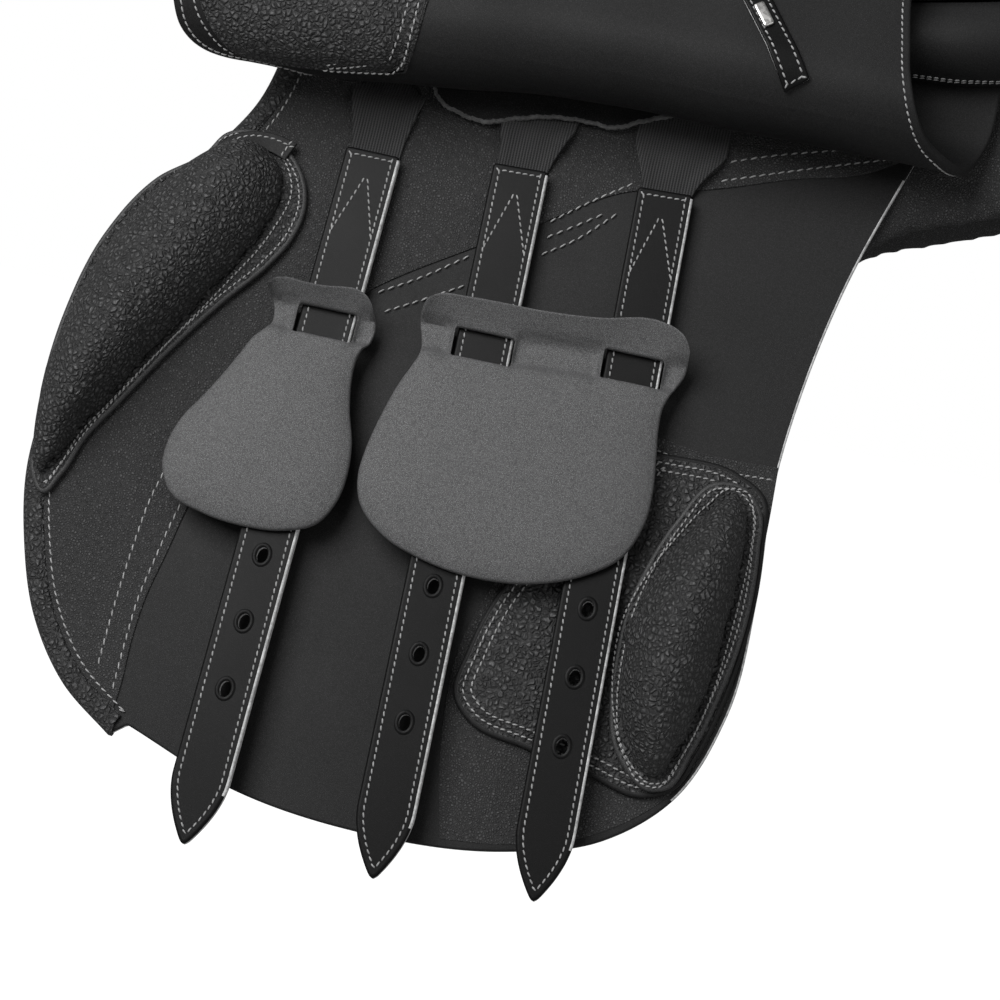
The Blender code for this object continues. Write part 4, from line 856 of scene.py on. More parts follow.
def moulded(name, colour):
    """Moulded plastic with a spark-eroded surface."""
    made, tree, shader, place = start_material(name, 0.4)
    speck = noise(tree, place, 1400.0, 2.0)["Fac"]
    slow = noise(tree, place, 30.0, 3.0)["Fac"]
    shaded(tree, shader, colour, ramp(tree, slow, 0.3, 0.7, 0.85, 1.15))
    feed(tree, shader.inputs, {"Roughness": ramp(tree, speck, 0.3, 0.7, 0.45, 0.62)})
    bump(tree, shader, speck, 0.06)
    return made


def material(name):
    """One of the saddle's finishes, made the first time it is asked for."""
    if name in MATERIALS:
        return MATERIALS[name]
    tint = bpy.context.scene.saddle_colours
    size = bpy.context.scene.saddle_sizes
    makers = {
        "coarse_pebbled": lambda: hide(
            name, tint.padded, 0.46, 0.42, size.coarse_pebble, size.pebble_depth, 0.34, 0.2
        ),
        "fine_pebbled": lambda: hide(
            name, tint.panel, 0.58, 0.36, size.fine_pebble, size.pebble_depth * 0.4, wrinkle=0.5
        ),
        "smooth_black": lambda: hide(name, tint.leather, 0.52, 0.32, 0.55, 0.035, variation=0.35),
        "bound_edge": lambda: hide(name, tint.panel, 0.45, 0.4, 0.6, 0.02, variation=0.2),
        "strap_black": lambda: hide(name, tint.strap, 0.4, 0.16, 0.6, 0.03, variation=0.35, coat=0.05),
        "seat_black": lambda: hide(name, tint.leather, 0.42, 0.36, 0.8, 0.05, 0.35, 0.8),
        "guard_grey": lambda: hide(name, tint.guard, 0.55, 0.34, 0.5, 0.006, variation=0.08),
        "lining_black": lambda: hide(name, tint.leather, 0.66, 0.28, 0.9, 0.06, wrinkle=0.9),
        "raw_edge": lambda: raw_hide(name, tint.raw_edge, 700.0, 0.12),
        "raw_suede": lambda: raw_hide(name, tint.suede, 900.0, 0.35),
        "webbing": lambda: cloth_web(name, tint.webbing),
        "thread": lambda: thread(name, tint.thread),
        "dark_thread": lambda: thread(name, tint.dark_thread),
        "plated_steel": lambda: plated(name, tint.steel),
        "moulded_tree": lambda: moulded(name, tint.moulding),
    }
    MATERIALS[name] = makers[name]()
    return MATERIALS[name]


def give_finish(node, finish):
    """Material of a CAD node that stays."""
    node = NODES[node]
    node.data.materials.clear()
    node.data.materials.append(material(finish))


# Flat leather with relief

def inside(points, loop):
    """Which points lie within a closed loop, by the crossings of a ray."""
    x, y = points[:, 0][:, None], points[:, 1][:, None]
    a, b = loop, np.roll(loop, -1, 0)
    crosses = (a[None, :, 1] > y) != (b[None, :, 1] > y)
    rise = np.where(a[:, 1] == b[:, 1], 1, b[:, 1] - a[:, 1])
    at = a[None, :, 0] + (y - a[None, :, 1]) * ((b[:, 0] - a[:, 0]) / rise)[None, :]
    return np.sum(crosses & (x < at), 1) % 2 == 1


def distance_to(points, loop):
    """Distance of points from a path of short runs: to the nearest of its points."""
    best = np.full(len(points), 1e9)
    for k in range(0, len(loop), 200):
        gap = points[:, None, :2] - loop[None, k : k + 200, :2]
        best = np.minimum(best, np.sqrt(np.min(np.sum(gap**2, -1), 1)))
    return best


def filled(loops, spacing):
    """Triangles between loops, with points of a staggered grid inside: (points, triangles)."""
    edges, start = [], 0
    for loop in loops:
        count = np.arange(len(loop))
        edges.append(np.stack([count, np.roll(count, -1)], -1) + start)
        start += len(loop)

    def within(spots):
        return inside(spots, loops[0]) & ~np.any([inside(spots, hole) for hole in loops[1:]], 0)

    low, high = loops[0].min(0), loops[0].max(0)
    rows = np.arange(low[1], high[1], spacing * ROW_SHARE)
    x, y = np.meshgrid(np.arange(low[0], high[0], spacing), rows)
    x = x + (np.arange(len(x)) % 2)[:, None] * spacing / 2
    inner = xy(x.ravel(), y.ravel())
    inner = inner[within(inner)]
    inner = inner[distance_to(inner, np.concatenate(loops)) > spacing * EDGE_SHARE]
    every = [Vector(point) for point in np.concatenate([*loops, inner])]
    found = delaunay_2d_cdt(every, np.concatenate(edges).tolist(), [], 0, 1e-4)
    points, tris = np.array([tuple(v) for v in found[0]]), np.array(found[2])
    tris = tris[within(points[tris].mean(1))]
    a, b, c = points[tris[:, 0]], points[tris[:, 1]], points[tris[:, 2]]
    turned = (b[:, 0] - a[:, 0]) * (c[:, 1] - a[:, 1]) - (b[:, 1] - a[:, 1]) * (c[:, 0] - a[:, 0])
    tris[turned < 0] = tris[turned < 0][:, ::-1]
    return points, tris


def relief(
    outer, holes=(), top=0.0, thickness=1.0, rounding=0.5, height=None, spacing=4.0, edge=0,
    back=None, rounded=0
):
    """Leather whose front follows a height function: rounded edges round each loop, and
    between them a net of triangles, front and back, lifted by height(x, y). The back may
    have a function of its own."""
    shape = Shape()
    fronts, backs = [], []
    for k, loop in enumerate((outer, *holes)):
        loop = oriented(loop, k == 0)
        rows = edge_rows(top, top - thickness, rounding)
        ring = np.stack([with_level(inset(loop, row[0]), row[1]) for row in rows])
        ring[..., 2] += height(ring[..., 0].ravel(), ring[..., 1].ravel()).reshape(ring.shape[:2])
        cut = rounded(loop) if callable(rounded) else rounded
        marks = edge_marks(len(loop), edge, cut) if k == 0 else 0
        shape.add(ring, grid_faces(len(rows), len(loop)), mark=marks)
        fronts.append(ring[0, :, :2])
        backs.append(ring[-1, :, :2])
    faces = ((fronts, top, height, 1), (backs, top - thickness, back or height, -1))
    for loops, level, lift, order in faces:
        net, tris = filled(loops, spacing)
        shape.add(with_level(net, level + lift(net[:, 0], net[:, 1])), tris=tris[:, ::order])
    return shape


def sweep(path, profile, closed=False, levels=0.0):
    """A closed profile of (inset, level) carried along a path; open paths get end caps."""
    profile = np.asarray(profile, float)
    levels = np.broadcast_to(levels, len(path))
    rows = np.stack([with_level(inset(path, p[0], closed), p[1] + levels) for p in profile], 1)
    if closed:
        rows = round_again(rows)
    shape = Shape().add(rows, grid_faces(len(rows), len(profile))[:, ::-1])
    return shape if closed else capped(shape, rows, order=1)


def part_of(loop, start, end):
    """The run of a closed loop from the point nearest start to the point nearest end."""
    a = np.argmin(np.sum((loop - (start[0], -start[1])) ** 2, 1))
    b = np.argmin(np.sum((loop - (end[0], -end[1])) ** 2, 1))
    return np.roll(loop, -a, 0)[: (b - a) % len(loop) + 1]


def binding_profile(width, top, low, swell=1.3):
    """Folded band over an edge: closed profile of (inset, level)."""
    middle = (top + low) / 2
    half = (top - low) / 2
    return (
        (width, middle + half - 0.4), (width - 0.1, top + 0.45), (width - 0.9, top + swell * 0.75),
        (width * 0.5, top + swell), (1.0, top + swell * 0.8), (-0.7, middle + half * 0.75),
        (-swell, middle), (-0.7, middle - half * 0.75), (1.0, low - swell * 0.8),
        (width * 0.5, low - swell), (width - 0.9, low - swell * 0.75), (width - 0.1, low - 0.45),
        (width, middle - half + 0.4),
    )


# Sweat flap

def sweat_flap(size):
    """Sweat flap: body leather, fine-pebbled front panel, rear patch, binding and seams."""
    outline = oriented(curve_through(SWEAT_OUTLINE))
    slot = curve_through(SLOT_OUTLINE, spacing=1)
    rear_cut = lambda loop: (loop[:, 0] > BARE_EDGE_FROM[0]) & (loop[:, 1] < -BARE_EDGE_FROM[1])
    body = relief(
        outline, [slot], 0, FACE_THICKNESS, rounding=0.9, height=flat, spacing=9, edge=1, rounded=rear_cut
    )
    side_pieces("sweat_flap_body", body, ("smooth_black", "raw_edge"), nodes=["sweat_flap"])
    panel_slot = inset(oriented(slot), -1.2)
    panel = plate(curve_through(FRONT_PANEL), [panel_slot], PANEL_LEVEL, 1.0, rounding=0.35)
    side_pieces("sweat_flap_front_panel", panel, ("fine_pebbled",))
    patch = oriented(curve_through(REAR_PATCH))
    thin = plate(patch, (), PATCH_LEVEL, 0.4, rounding=0.1)
    side_pieces("sweat_flap_rear_patch", thin, ("fine_pebbled",))
    front = part_of(outline, *BINDING_ENDS)
    wide = size.binding_width
    binding = sweep(front, binding_profile(wide, 0.6, -FACE_THICKNESS, 1.6))
    side_pieces("sweat_flap_binding", binding, ("coarse_pebbled",))
    rows = stitches(inset(front, wide + 2.2, False), PANEL_LEVEL, size, scale=1.2)
    for row in SEAM_ROWS:
        rows.join(stitches(curve_through(row, closed=False), PANEL_LEVEL, size, scale=SEAM_STITCH))
    rows.join(stitches(part_of(inset(patch, 6), (68, 137), (15, 135)), PATCH_LEVEL, size))
    sewing("sweat_flap", rows)


# Girth straps and their webs

def hinge_matrix(body):
    """Places the leaned plane in which a body's straps and guard lie."""
    down = HINGE_DOWN[body]
    return shift(0, -down, STRAP_STANDOFF) @ turn("X", STRAP_LEAN_OUT) @ shift(0, down, 0)


def strap_matrix(strap):
    """Places a strap, whose top edge is its own origin."""
    spec = STRAPS[strap]
    place = shift(spec.along, -spec.down, 0) @ turn("Z", radians(spec.turn))
    return hinge_matrix(STRAP_BODY[strap]) @ place


def strap_outline(length):
    """Strap's outline: square at the top; towards the tip the half width falls as
    1 - t^1.85, and neighbours are averaged there to round the point."""
    half = STRAP_WIDTH / 2
    t = np.linspace(0, 1, 26)
    side = np.stack([half * (1 - t**TIP_POWER), -(length - STRAP_TIP) - STRAP_TIP * t], -1)
    corner = np.array([[half, -1], [half - 1, 0], [-half + 1, 0], [-half, -1]])
    loop = np.vstack([side * (-1, 1), side[::-1], corner, side[:1] * (-1, 1)])
    loop = even(loop, 1.5, True)
    for _ in range(2):
        mean = (np.roll(loop, 1, 0) + np.roll(loop, -1, 0)) / 2
        loop = np.where(loop[:, 1:] < -(length - TIP_ROUND), mean, loop)
    return loop


def ellipse(half_x, half_y, at, count=20):
    """Points round an ellipse."""
    angle = np.arange(count) * 2 * pi / count
    return xy(at[0] + half_x * np.cos(angle), at[1] + half_y * np.sin(angle))


def strap_middle(strap, down):
    """Where along a strap's middle line lies at a distance down."""
    spec = STRAPS[strap]
    return spec.along + (down - spec.down) * tan(radians(spec.turn))


def girth_strap(strap, size):
    """Strap with real holes and pressed rims, raw edges, and its sewing: a row round its
    edge and two legs that meet in a V under its top."""
    spec = STRAPS[strap]
    place = strap_matrix(strap)
    name, body = f"girth_strap_{strap}", STRAP_BODY[strap]
    outline = oriented(strap_outline(spec.length))
    lowest = spec.length - spec.last_hole
    spots = [(0, HOLE_PITCH * k - lowest) for k in range(HOLE_COUNT)]
    holes = [ellipse(*HOLE_CUT, spot) for spot in spots]
    rear_cut = lambda loop: (loop[:, 0] > STRAP_WIDTH / 2 - 0.8) & (loop[:, 1] < -2)
    thick = STRAP_THICKNESS
    board = plate(outline, holes, thick, thick, rounding=1.1, edge=1, rounded=rear_cut)
    leather = Shape().join(board, place)
    for hole in holes:
        leather.join(sweep(oriented(hole), HOLE_RIM, closed=True, levels=thick), place)
    side_pieces(f"{name}_leather", leather, ("strap_black", "raw_edge"), body, [name])
    edge_row = inset(outline, size.strap_stitch_inset)
    beside_tip = (edge_row * outline > 0)[:, 0] | (edge_row[:, 1] > -(spec.length - STRAP_TIP))
    rows = stitches(round_again(edge_row[beside_tip]), thick, size)
    half = STRAP_WIDTH / 2 - size.strap_stitch_inset
    for side in (-1, 1):
        leg = np.array([[V_TOP[0] * side, -V_TOP[1]], [half * side, -V_FOOT_DOWN]])
        rows.join(stitches(leg, thick, size))
    sewing(name, Shape().join(rows, place), body)


def web_path(strap):
    """(down, level) of a web's middle: flat on the face, arched where it leaves, then down
    behind the strap. The first comes through the slot from behind the face."""
    down = STRAPS[strap].down
    end = down + WEB_BEHIND
    hinge, lean = HINGE_DOWN[STRAP_BODY[strap]], sin(-STRAP_LEAN_OUT)
    behind = lambda d: STRAP_STANDOFF - 1.5 + lean * (d - hinge)
    if strap == "1":
        knots = (*SLOT_WEB_START, (18, behind(20) + 0.6), (down, behind(down)), (end, behind(end)))
    else:
        knots = (*FACE_WEB_START, (down - 2, behind(down) + 0.1), (end, behind(end)))
    return curve_through([(k[0], -k[1]) for k in knots], closed=False, spacing=1.2)


def girth_web(strap):
    """Ribbed web with folded-in sides, from under the skirt to behind its strap. Its half
    width narrows by a smooth step to the strap's, and ripples crumple its arch."""
    half, middle = WEBS[strap]
    spec, body = STRAPS[strap], STRAP_BODY[strap]
    path = web_path(strap)
    down, level = path[:, 0], path[:, 1, None]
    taper = smooth((down + 6) / (spec.down + 6))
    wide = half - taper * (half - STRAP_WIDTH / 2 + 1.2)
    drift = np.interp(down, [0, spec.down], [middle, spec.along])
    f = np.linspace(-1, 1, 25)
    fold = 0.55 * smooth((np.abs(f) - 0.62) / 0.12)
    crumple = 0.35 * np.sin(f * 7 + 1) * bell(down - 4, 9)[:, None]
    x = drift[:, None] + wide[:, None] * f
    y = np.broadcast_to(-down[:, None], x.shape)
    front = np.stack([x, y, level + fold + crumple + WEB_THICKNESS / 2], -1)
    rear = np.stack([x, y, level - WEB_THICKNESS / 2 + crumple], -1)
    nodes = [f"girth_web_{strap}", *WEB_ROOTS[strap]]
    made = side_pieces(
        f"girth_webbing_{strap}", slab(front, rear), ("webbing",), None, nodes, 60
    )
    bend_between(made)


def ragged(loop, reach):
    """Loop whose points stray by a few sines: a hand-cut edge."""
    k = np.arange(len(loop))
    stray = np.sin(k * 1.7) + np.sin(k * 0.61 + 1) + 0.7 * np.sin(k * 2.9 + 2)
    return inset(loop, stray * reach / 2.7)


def web_tongue(size):
    """Tongue of leather over the rear webs, its lower edge raw and curled out: the curl
    falls as e^-distance from the edge, and waves along it."""
    loop = ragged(oriented(curve_through(TONGUE_OUTLINE, spacing=0.9)), size.ragged_edge)
    edge = loop[loop[:, 1] > -50]

    def curl(x, y):
        near = np.exp(-distance_to(xy(x, y), edge) / 3) * (y < 30)
        return 1.2 * smooth((y + 12) / -14 + 0.2) + 1.6 * near * (1 + 0.4 * np.sin(x * 0.09))

    shape = relief(
        loop, (), TONGUE_LEVEL, 2.8, rounding=1.1, height=curl, spacing=3, edge=1, rounded=1
    )
    finishes = ("lining_black", "raw_suede")
    side_pieces("webbing_tongue", shape, finishes, nodes=["web_cover"])


# Buckle guards

def guard_windows(straps):
    """Closed loops of the windows through which straps pass: upright at the sides but for
    the strap's own slant, their corners cut off."""
    loops = []
    for strap in straps:
        middle = strap_middle(strap, WINDOW_DOWN[strap])
        slip = WINDOW_HEIGHT * tan(radians(STRAPS[strap].turn))
        top, low = -WINDOW_DOWN[strap], -WINDOW_DOWN[strap] - WINDOW_HEIGHT
        left, right, cut = middle - WINDOW_HALF, middle + WINDOW_HALF, WINDOW_CORNER
        corners = [
            (left, top - cut), (left + cut, top), (right - cut, top), (right, top - cut),
            (right + slip, low + cut), (right + slip - cut, low), (left + slip + cut, low),
            (left + slip, low + cut), (left, top - cut),
        ]
        loops.append(even(np.array(corners), 1.1, True))
    return loops


def guard_height(outline, straps, size):
    """Height over a guard's flat leather.

    The lip above the windows curls out as a power of the way to its top edge. Beside the
    windows the cheeks lie back and wrinkle, and the waist is drawn in where it is clear of
    the straps. Below them a soft step starts the body, which swells as 1 - e^-distance from
    the guard's edge.
    """
    downs = [WINDOW_DOWN[strap] for strap in straps]
    middles = [strap_middle(strap, WINDOW_DOWN[strap]) for strap in straps]
    upper = outline[outline[:, 1] > -min(downs) + 2]
    upper = upper[np.argsort(upper[:, 0])]

    def height(x, y):
        deep = distance_to(xy(x, y), outline)
        start = -np.interp(x, middles, downs)
        low = start - WINDOW_HEIGHT
        reach = np.interp(x, upper[:, 0], upper[:, 1]) - start + 0.5
        lip = np.clip((y - start + 0.5) / np.maximum(reach, 2), 0, 1.1)
        beside = np.min([np.abs(x - middle) for middle in middles], 0) - WINDOW_HALF
        step = smooth((low + 2.2 - y) / 3.6)
        cheek = smooth((beside + 1) / 4) * smooth((start + 3 - y) / 4) * (1 - smooth((low + 3 - y) / 5))
        wrinkle = 0.25 * np.sin(x * 2.1 + y * 0.7) * np.sin(y * 1.3 - x * 0.5) * cheek
        waist = smooth((beside + 0.5) / 2.5) * (1 - step) * (1 - smooth(lip * 3))
        draw = bell(beside - 1, 3.2) * bell(y - low - 1, 5)
        swell = size.guard_swell * (1 - np.exp(-deep / 13)) * smooth((low + 4 - y) / 26)
        body = (GUARD_STEP - GUARD_EDGE * np.exp(-deep / 2.2)) * step + swell
        drawn_in = GUARD_WAIST * waist + GUARD_CHEEK * cheek + GUARD_DRAW * draw
        return size.lip_curl * lip**LIP_POWER + body + wrinkle - drawn_in

    return height


def buckle_guard(name, outline, straps, size):
    """Guard with windows, and a bridge of leather behind each."""
    place = hinge_matrix(STRAP_BODY[straps[0]])
    outline = oriented(curve_through(outline, spacing=1.4))
    height = guard_height(outline, straps, size)
    thickness = GUARD_FRONT - GUARD_BACK
    windows = guard_windows(straps)
    shape = relief(
        outline, windows, GUARD_FRONT, thickness, rounding=0.9, height=height, spacing=2.4
    )
    leather = Shape().join(shape, place)
    side_pieces(f"{name}_leather", leather, ("guard_grey",), name, [name])
    for strap in straps:
        low, half = WINDOW_DOWN[strap] + 2, WINDOW_HALF + 5
        corners = np.array([
            (-half, -low), (-half, -low - 9), (half, -low - 9), (half, -low), (-half, -low),
        ])
        loop = even(corners, 2, True) + (strap_middle(strap, low), 0)
        bridge = Shape().join(plate(loop, (), -0.2, 1.4, rounding=0.3), place)
        side_pieces(f"{name}_bridge_{strap}", bridge, ("lining_black",), name)


# Padded blocks

def ridge_height(ridge, height):
    """Height of a padded block: along the block the ridge's share of the full height, and
    across it (1 - u^2)^0.8, u being 1 at the seam."""
    table = np.array(ridge, float)

    def over(x, y):
        middle, before, behind, share = (np.interp(-y, table[:, 1], table[:, k]) for k in (0, 2, 3, 4))
        u = (x - middle) / np.maximum(np.where(x < middle, before, behind), 1)
        rise = height * share * np.clip(1 - u * u, 0, 1) ** DOME_POWER
        return np.where((-y < table[0, 1]) | (-y > table[-1, 1]), 0, rise)

    return over


def seam_loop(ridge):
    """Seam between a block's dome and its flange, from the ridge's half widths."""
    table = np.array(ridge, float)
    front = np.stack([table[:, 0] - table[:, 2], table[:, 1]], -1)
    rear = np.stack([table[:, 0] + table[:, 3], table[:, 1]], -1)[::-1]
    return curve_through([tuple(point) for point in np.vstack([front, rear])])


def cloth_puffed(piece, pinned, size):
    """Puffs a closed soft piece: remesh to even faces, cloth with air pressure and no
    gravity, pinned where the mask says; moves are held under a cap, then smoothed once."""
    scene = bpy.context.scene
    bpy.context.view_layer.objects.active = piece
    remesh = piece.modifiers.new("even faces", "REMESH")
    remesh.mode = "VOXEL"
    remesh.voxel_size = size.cloth_voxel * MM
    apply_modifiers(piece)
    rest = points_of(piece.data)
    held = piece.vertex_groups.new(name="held")
    held.add(np.flatnonzero(pinned(rest)).tolist(), 1.0, "REPLACE")
    cloth = piece.modifiers.new("cloth", "CLOTH")
    for key, value in CLOTH_SETTINGS.items():
        setattr(cloth.settings, key, value)
    cloth.settings.uniform_pressure_force = size.cloth_pressure
    cloth.settings.vertex_group_mass = held.name
    cloth.settings.effector_weights.gravity = 0
    cloth.collision_settings.use_collision = False
    cloth.point_cache.frame_start, cloth.point_cache.frame_end = 1, CLOTH_FRAMES
    for step in range(1, CLOTH_FRAMES + 1):
        scene.frame_set(step)
    move = points_of(evaluated(piece).to_mesh()) - rest
    piece.modifiers.remove(cloth)
    scene.frame_set(1)
    far = np.linalg.norm(move, axis=1, keepdims=True)
    move *= np.minimum(1, size.cloth_cap * MM / np.maximum(far, 1e-9))
    piece.data.vertices.foreach_set("co", (rest + move).astype(np.float32).ravel())
    piece.data.update()
    smoother = piece.modifiers.new("smooth", "SUBSURF")
    smoother.levels = smoother.render_levels = 1
    apply_modifiers(piece)
    piece.data.shade_smooth()


def apply_modifiers(piece):
    """Replaces a piece's mesh by its evaluated one."""
    bpy.context.view_layer.update()
    made = bpy.data.meshes.new_from_object(evaluated(piece))
    old = piece.data
    piece.modifiers.clear()
    piece.data = made
    made.name = old.name
    bpy.data.meshes.remove(old)


def evaluated(piece):
    """A piece as its modifiers leave it."""
    return piece.evaluated_get(bpy.context.evaluated_depsgraph_get())


def points_of(mesh):
    """Mesh's points as an array."""
    co = np.empty(len(mesh.vertices) * 3, np.float32)
    mesh.vertices.foreach_get("co", co)
    return co.reshape(-1, 3).astype(float)


def side_coordinates(points, side):
    """Along, up and out in millimetres of points in metres: the inverse of world_points."""
    return (mirrored(points, side) - FACE_ORIGIN) @ FACE_AXES.T / MM


def padded_block(name, outline, ridge, base, flange, height, size, sewn=None):
    """Block with a stitched flange and a cushion that is puffed by cloth. The sewing runs
    right round, or only between the two places in `sewn`."""
    outer, seam = oriented(curve_through(outline)), oriented(seam_loop(ridge))
    over = ridge_height(ridge, height)
    top = base + flange
    board = relief(outer, (), top, flange, rounding=1.2, height=flat, spacing=6, edge=1, rounded=1)
    side_pieces(f"{name}_flange", board, ("coarse_pebbled", "bound_edge"), name, nodes=[name], sharp=60)
    front = lambda x, y: over(x, y) + 0.6
    back = lambda x, y: np.full_like(x, -0.2)
    dome = relief(seam, (), top, 1.5, rounding=0.5, height=front, spacing=3.0, back=back)
    made = side_pieces(f"{name}_cushion", dome, ("coarse_pebbled",), name, sharp=180)
    for piece, side in zip(made, "LR"):
        cloth_puffed(piece, lambda p, s=side: side_coordinates(p, s)[:, 2] < top + HELD_RISE, size)
    rows = Shape()
    for line, level in ((inset(outer, 3.4), top), (inset(seam, -1.6), top + 0.35)):
        part = part_of(line, *sewn) if sewn else round_again(line)
        rows.join(stitches(part, level, size, scale=BLOCK_STITCH))
    sewing(name, rows, name)
    return top


def knee_block(size):
    """Knee block, and its stitched tab, which is raised as a bell over the top edge."""
    top = padded_block("knee_block", KNEE_OUTLINE, KNEE_RIDGE, 1.5, 3.2, 29, size, KNEE_SEWN)
    tab = oriented(curve_through(KNEE_TAB, spacing=1.2))
    over = lambda x, y: 2.6 * bell(y + 44, 9) * smooth((-182 - x) / 14)
    leather = relief(tab, (), top + 1.5, 1.6, rounding=0.5, height=over, spacing=2)
    side_pieces("knee_block_tab", leather, ("smooth_black",), "knee_block", sharp=60)
    line = part_of(inset(tab, 2.6), (-176, 40), (-211, 48))
    rows = stitches(with_level(line, top + 1.5 + over(line[:, 0], line[:, 1])), None, size)
    sewing("knee_block_tab", rows, "knee_block")


def thigh_block(size):
    """Thigh block and its piped, stitched base pad: a crown of 1 - e^-distance from the
    edge, less a groove under the sewing."""
    pad = oriented(curve_through(BASE_OUTLINE))

    def crown(x, y):
        deep = distance_to(xy(x, y), pad)
        return 1.3 * (1 - np.exp(-deep / 5)) - 0.9 * bell(deep - 5, 1.2)

    board = relief(pad, (), 2.9, 2.6, rounding=0.8, height=crown, spacing=3, edge=1, rounded=1)
    base = side_pieces(
        "thigh_base_pad", board, ("coarse_pebbled", "bound_edge"), nodes=["thigh_base"], sharp=60
    )
    pipe = ellipse(PIPE_RADIUS, PIPE_RADIUS, (0.6, 1.9), 8)
    side_pieces("thigh_base_piping", sweep(pad, pipe, closed=True), ("smooth_black",))
    rows = Shape()
    for deep in (3.6, 7.2):
        line = inset(pad, deep)
        line = with_level(line, 2.95 + crown(line[:, 0], line[:, 1]))
        rows.join(stitches(round_again(line), None, size))
    sewing("thigh_base", rows)
    padded_block("thigh_block", THIGH_OUTLINE, THIGH_RIDGE, 4.1, 3.0, 30, size)


# Flap

def roll_at(x):
    """Roll of the flap at x: its radius, its centre (up, out) and the leaf's own distance
    where the leaf leaves it. The circle touches the standing flap's face and the leaf's
    face, and its centre sags towards the front."""
    start = FLAP_STANDOFF + FLAP_THICKNESS
    fall, rise = cos(LEAF_TURN), sin(LEAF_TURN)
    up = -FLAP_ROLL_DOWN - FLAP_SAG * smooth((FLAP_SAG_FROM - x) / FLAP_SAG_RUN)
    radius = ((up - LEAF_FOLD[0]) * rise + (start - LEAF_FOLD[1]) * fall) / (1 - fall)
    out = start + radius
    return radius, up, out, (up - radius * rise - LEAF_FOLD[0]) / -fall


def on_flap(points):
    """Flap's own coordinates bent into the side's frame, with the roll's turn at each point.

    Given are x, minus the distance up the leaf from its fold, and minus the level above the
    inner skin. Beyond the leave point the leaf is flat; short of it, it lies round the roll's
    circle, and past the circle's start flat on the face.
    """
    x, distance, level = points[:, 0], -points[:, 1], -points[:, 2]
    radius, up, out, leave = roll_at(x)
    neutral = radius + FLAP_THICKNESS / 2
    turned = LEAF_TURN - np.clip(leave - distance, 0, None) / neutral
    stand = np.clip(-turned, 0, None) * neutral
    turned = np.clip(turned, 0, None)
    wave = 0.35 * np.sin(x * 0.045 + 1) + 0.25 * np.sin(x * 0.11)
    reach = radius + level + wave
    ahead = np.clip(distance - leave, 0, None)
    bent_up = up - reach * np.sin(turned) + stand - ahead * cos(LEAF_TURN)
    bent_out = out - reach * np.cos(turned) + ahead * sin(LEAF_TURN)
    turned = np.where(ahead > 0, LEAF_TURN + ahead / neutral, turned)
    return np.stack([x, bent_up, bent_out], -1), turned


def flap_pieces(name, shape, finishes, nodes=((), (), ())):
    """Pieces of a shape on the flap, cut where the roll's turn passes FLAP_CUTS."""
    points, quads, tris, quad_marks, _ = shape.arrays()
    points, turned = on_flap(points)
    quad_fold = np.digitize(turned[quads].mean(1), FLAP_CUTS)
    tri_fold = np.digitize(turned[tris].mean(1), FLAP_CUTS)
    folds = np.union1d(quad_fold, tri_fold)
    for k in folds:
        own_quads, own_tris = quads[quad_fold == k], tris[tri_fold == k]
        used = np.zeros(len(points), bool)
        used[own_quads] = used[own_tris] = True
        place = np.cumsum(used) - 1
        piece = Shape().add(points[used], place[own_quads], place[own_tris], quad_marks[quad_fold == k])
        label = name if len(folds) == 1 else f"{name}_{k + 1}"
        made = side_pieces(
            label, piece, finishes, None, nodes[k], sharp=60, tidy=finishes != ("thread",)
        )
        bend_between(made)


def flap_leaf(size):
    """Flap in one skin: its standing top, the smooth roll and the raised leaf, with the
    padded patch and the sewing."""
    outline = oriented(curve_through(LEAF_OUTLINE))
    skin = relief(outline, (), 0, FLAP_THICKNESS, rounding=0.9, height=flat, spacing=3.4)
    nodes = (["flap_top", "flap_bend_1"], ["flap_bend_2"], ["flap_leaf"])
    flap_pieces("flap_skin", skin, ("smooth_black",), nodes)
    patch = oriented(curve_through(PATCH_OUTLINE))
    low = -FLAP_THICKNESS

    def puff(x, y):
        """The patch's outer face: 1 - e^-distance from its edge, rippled, with two welts."""
        deep = distance_to(xy(x, y), patch)
        ripple = 0.45 * np.sin(x * 0.35 + y * 0.12) * np.exp(-deep / 9) * (deep > 4)
        rear_welt = 1.12 * bell(np.clip(-126 - x, -9, 99) - 4, 5)
        welt = 0.96 * bell(deep - 5, 3) * (y > 15)
        return rear_welt + welt + ripple - 2.4 * (1 - np.exp(-deep / 5))

    pad = relief(patch, (), low + 0.6, 1.4, rounding=0.5, height=flat, spacing=3, back=puff)
    flap_pieces("flap_patch", pad, ("coarse_pebbled",), ([], [], ["flap_padding"]))
    edge = inset(outline, 3.6)
    rows = Shape()
    for ends in (((108, -20), (60, 292)), ((60, 292), (-250, 240))):
        rows.join(stitches(part_of(edge, *ends), low, size, normal=(0, 0, -1)))
    for knots, drop in ((LEAF_BAND_ROW, 0), *((row, 1.5) for row in PATCH_ROWS)):
        line = curve_through(knots, closed=False)
        rows.join(stitches(line, low - drop, size, normal=(0, 0, -1)))
    flap_pieces("flap_stitching", rows, ("thread",))


def bar_loop(start, end, width, spacing=1.5):
    """Closed loop of a straight band between two (along, distance) places."""
    start, end = (np.array([k[0], -k[1]], float) for k in (start, end))
    run = unit(end - start)
    aside = np.array([-run[1], run[0]]) * width / 2
    corners = [start - aside, start + aside, end + aside, end - aside, start - aside]
    return oriented(even(np.array(corners), spacing, True))


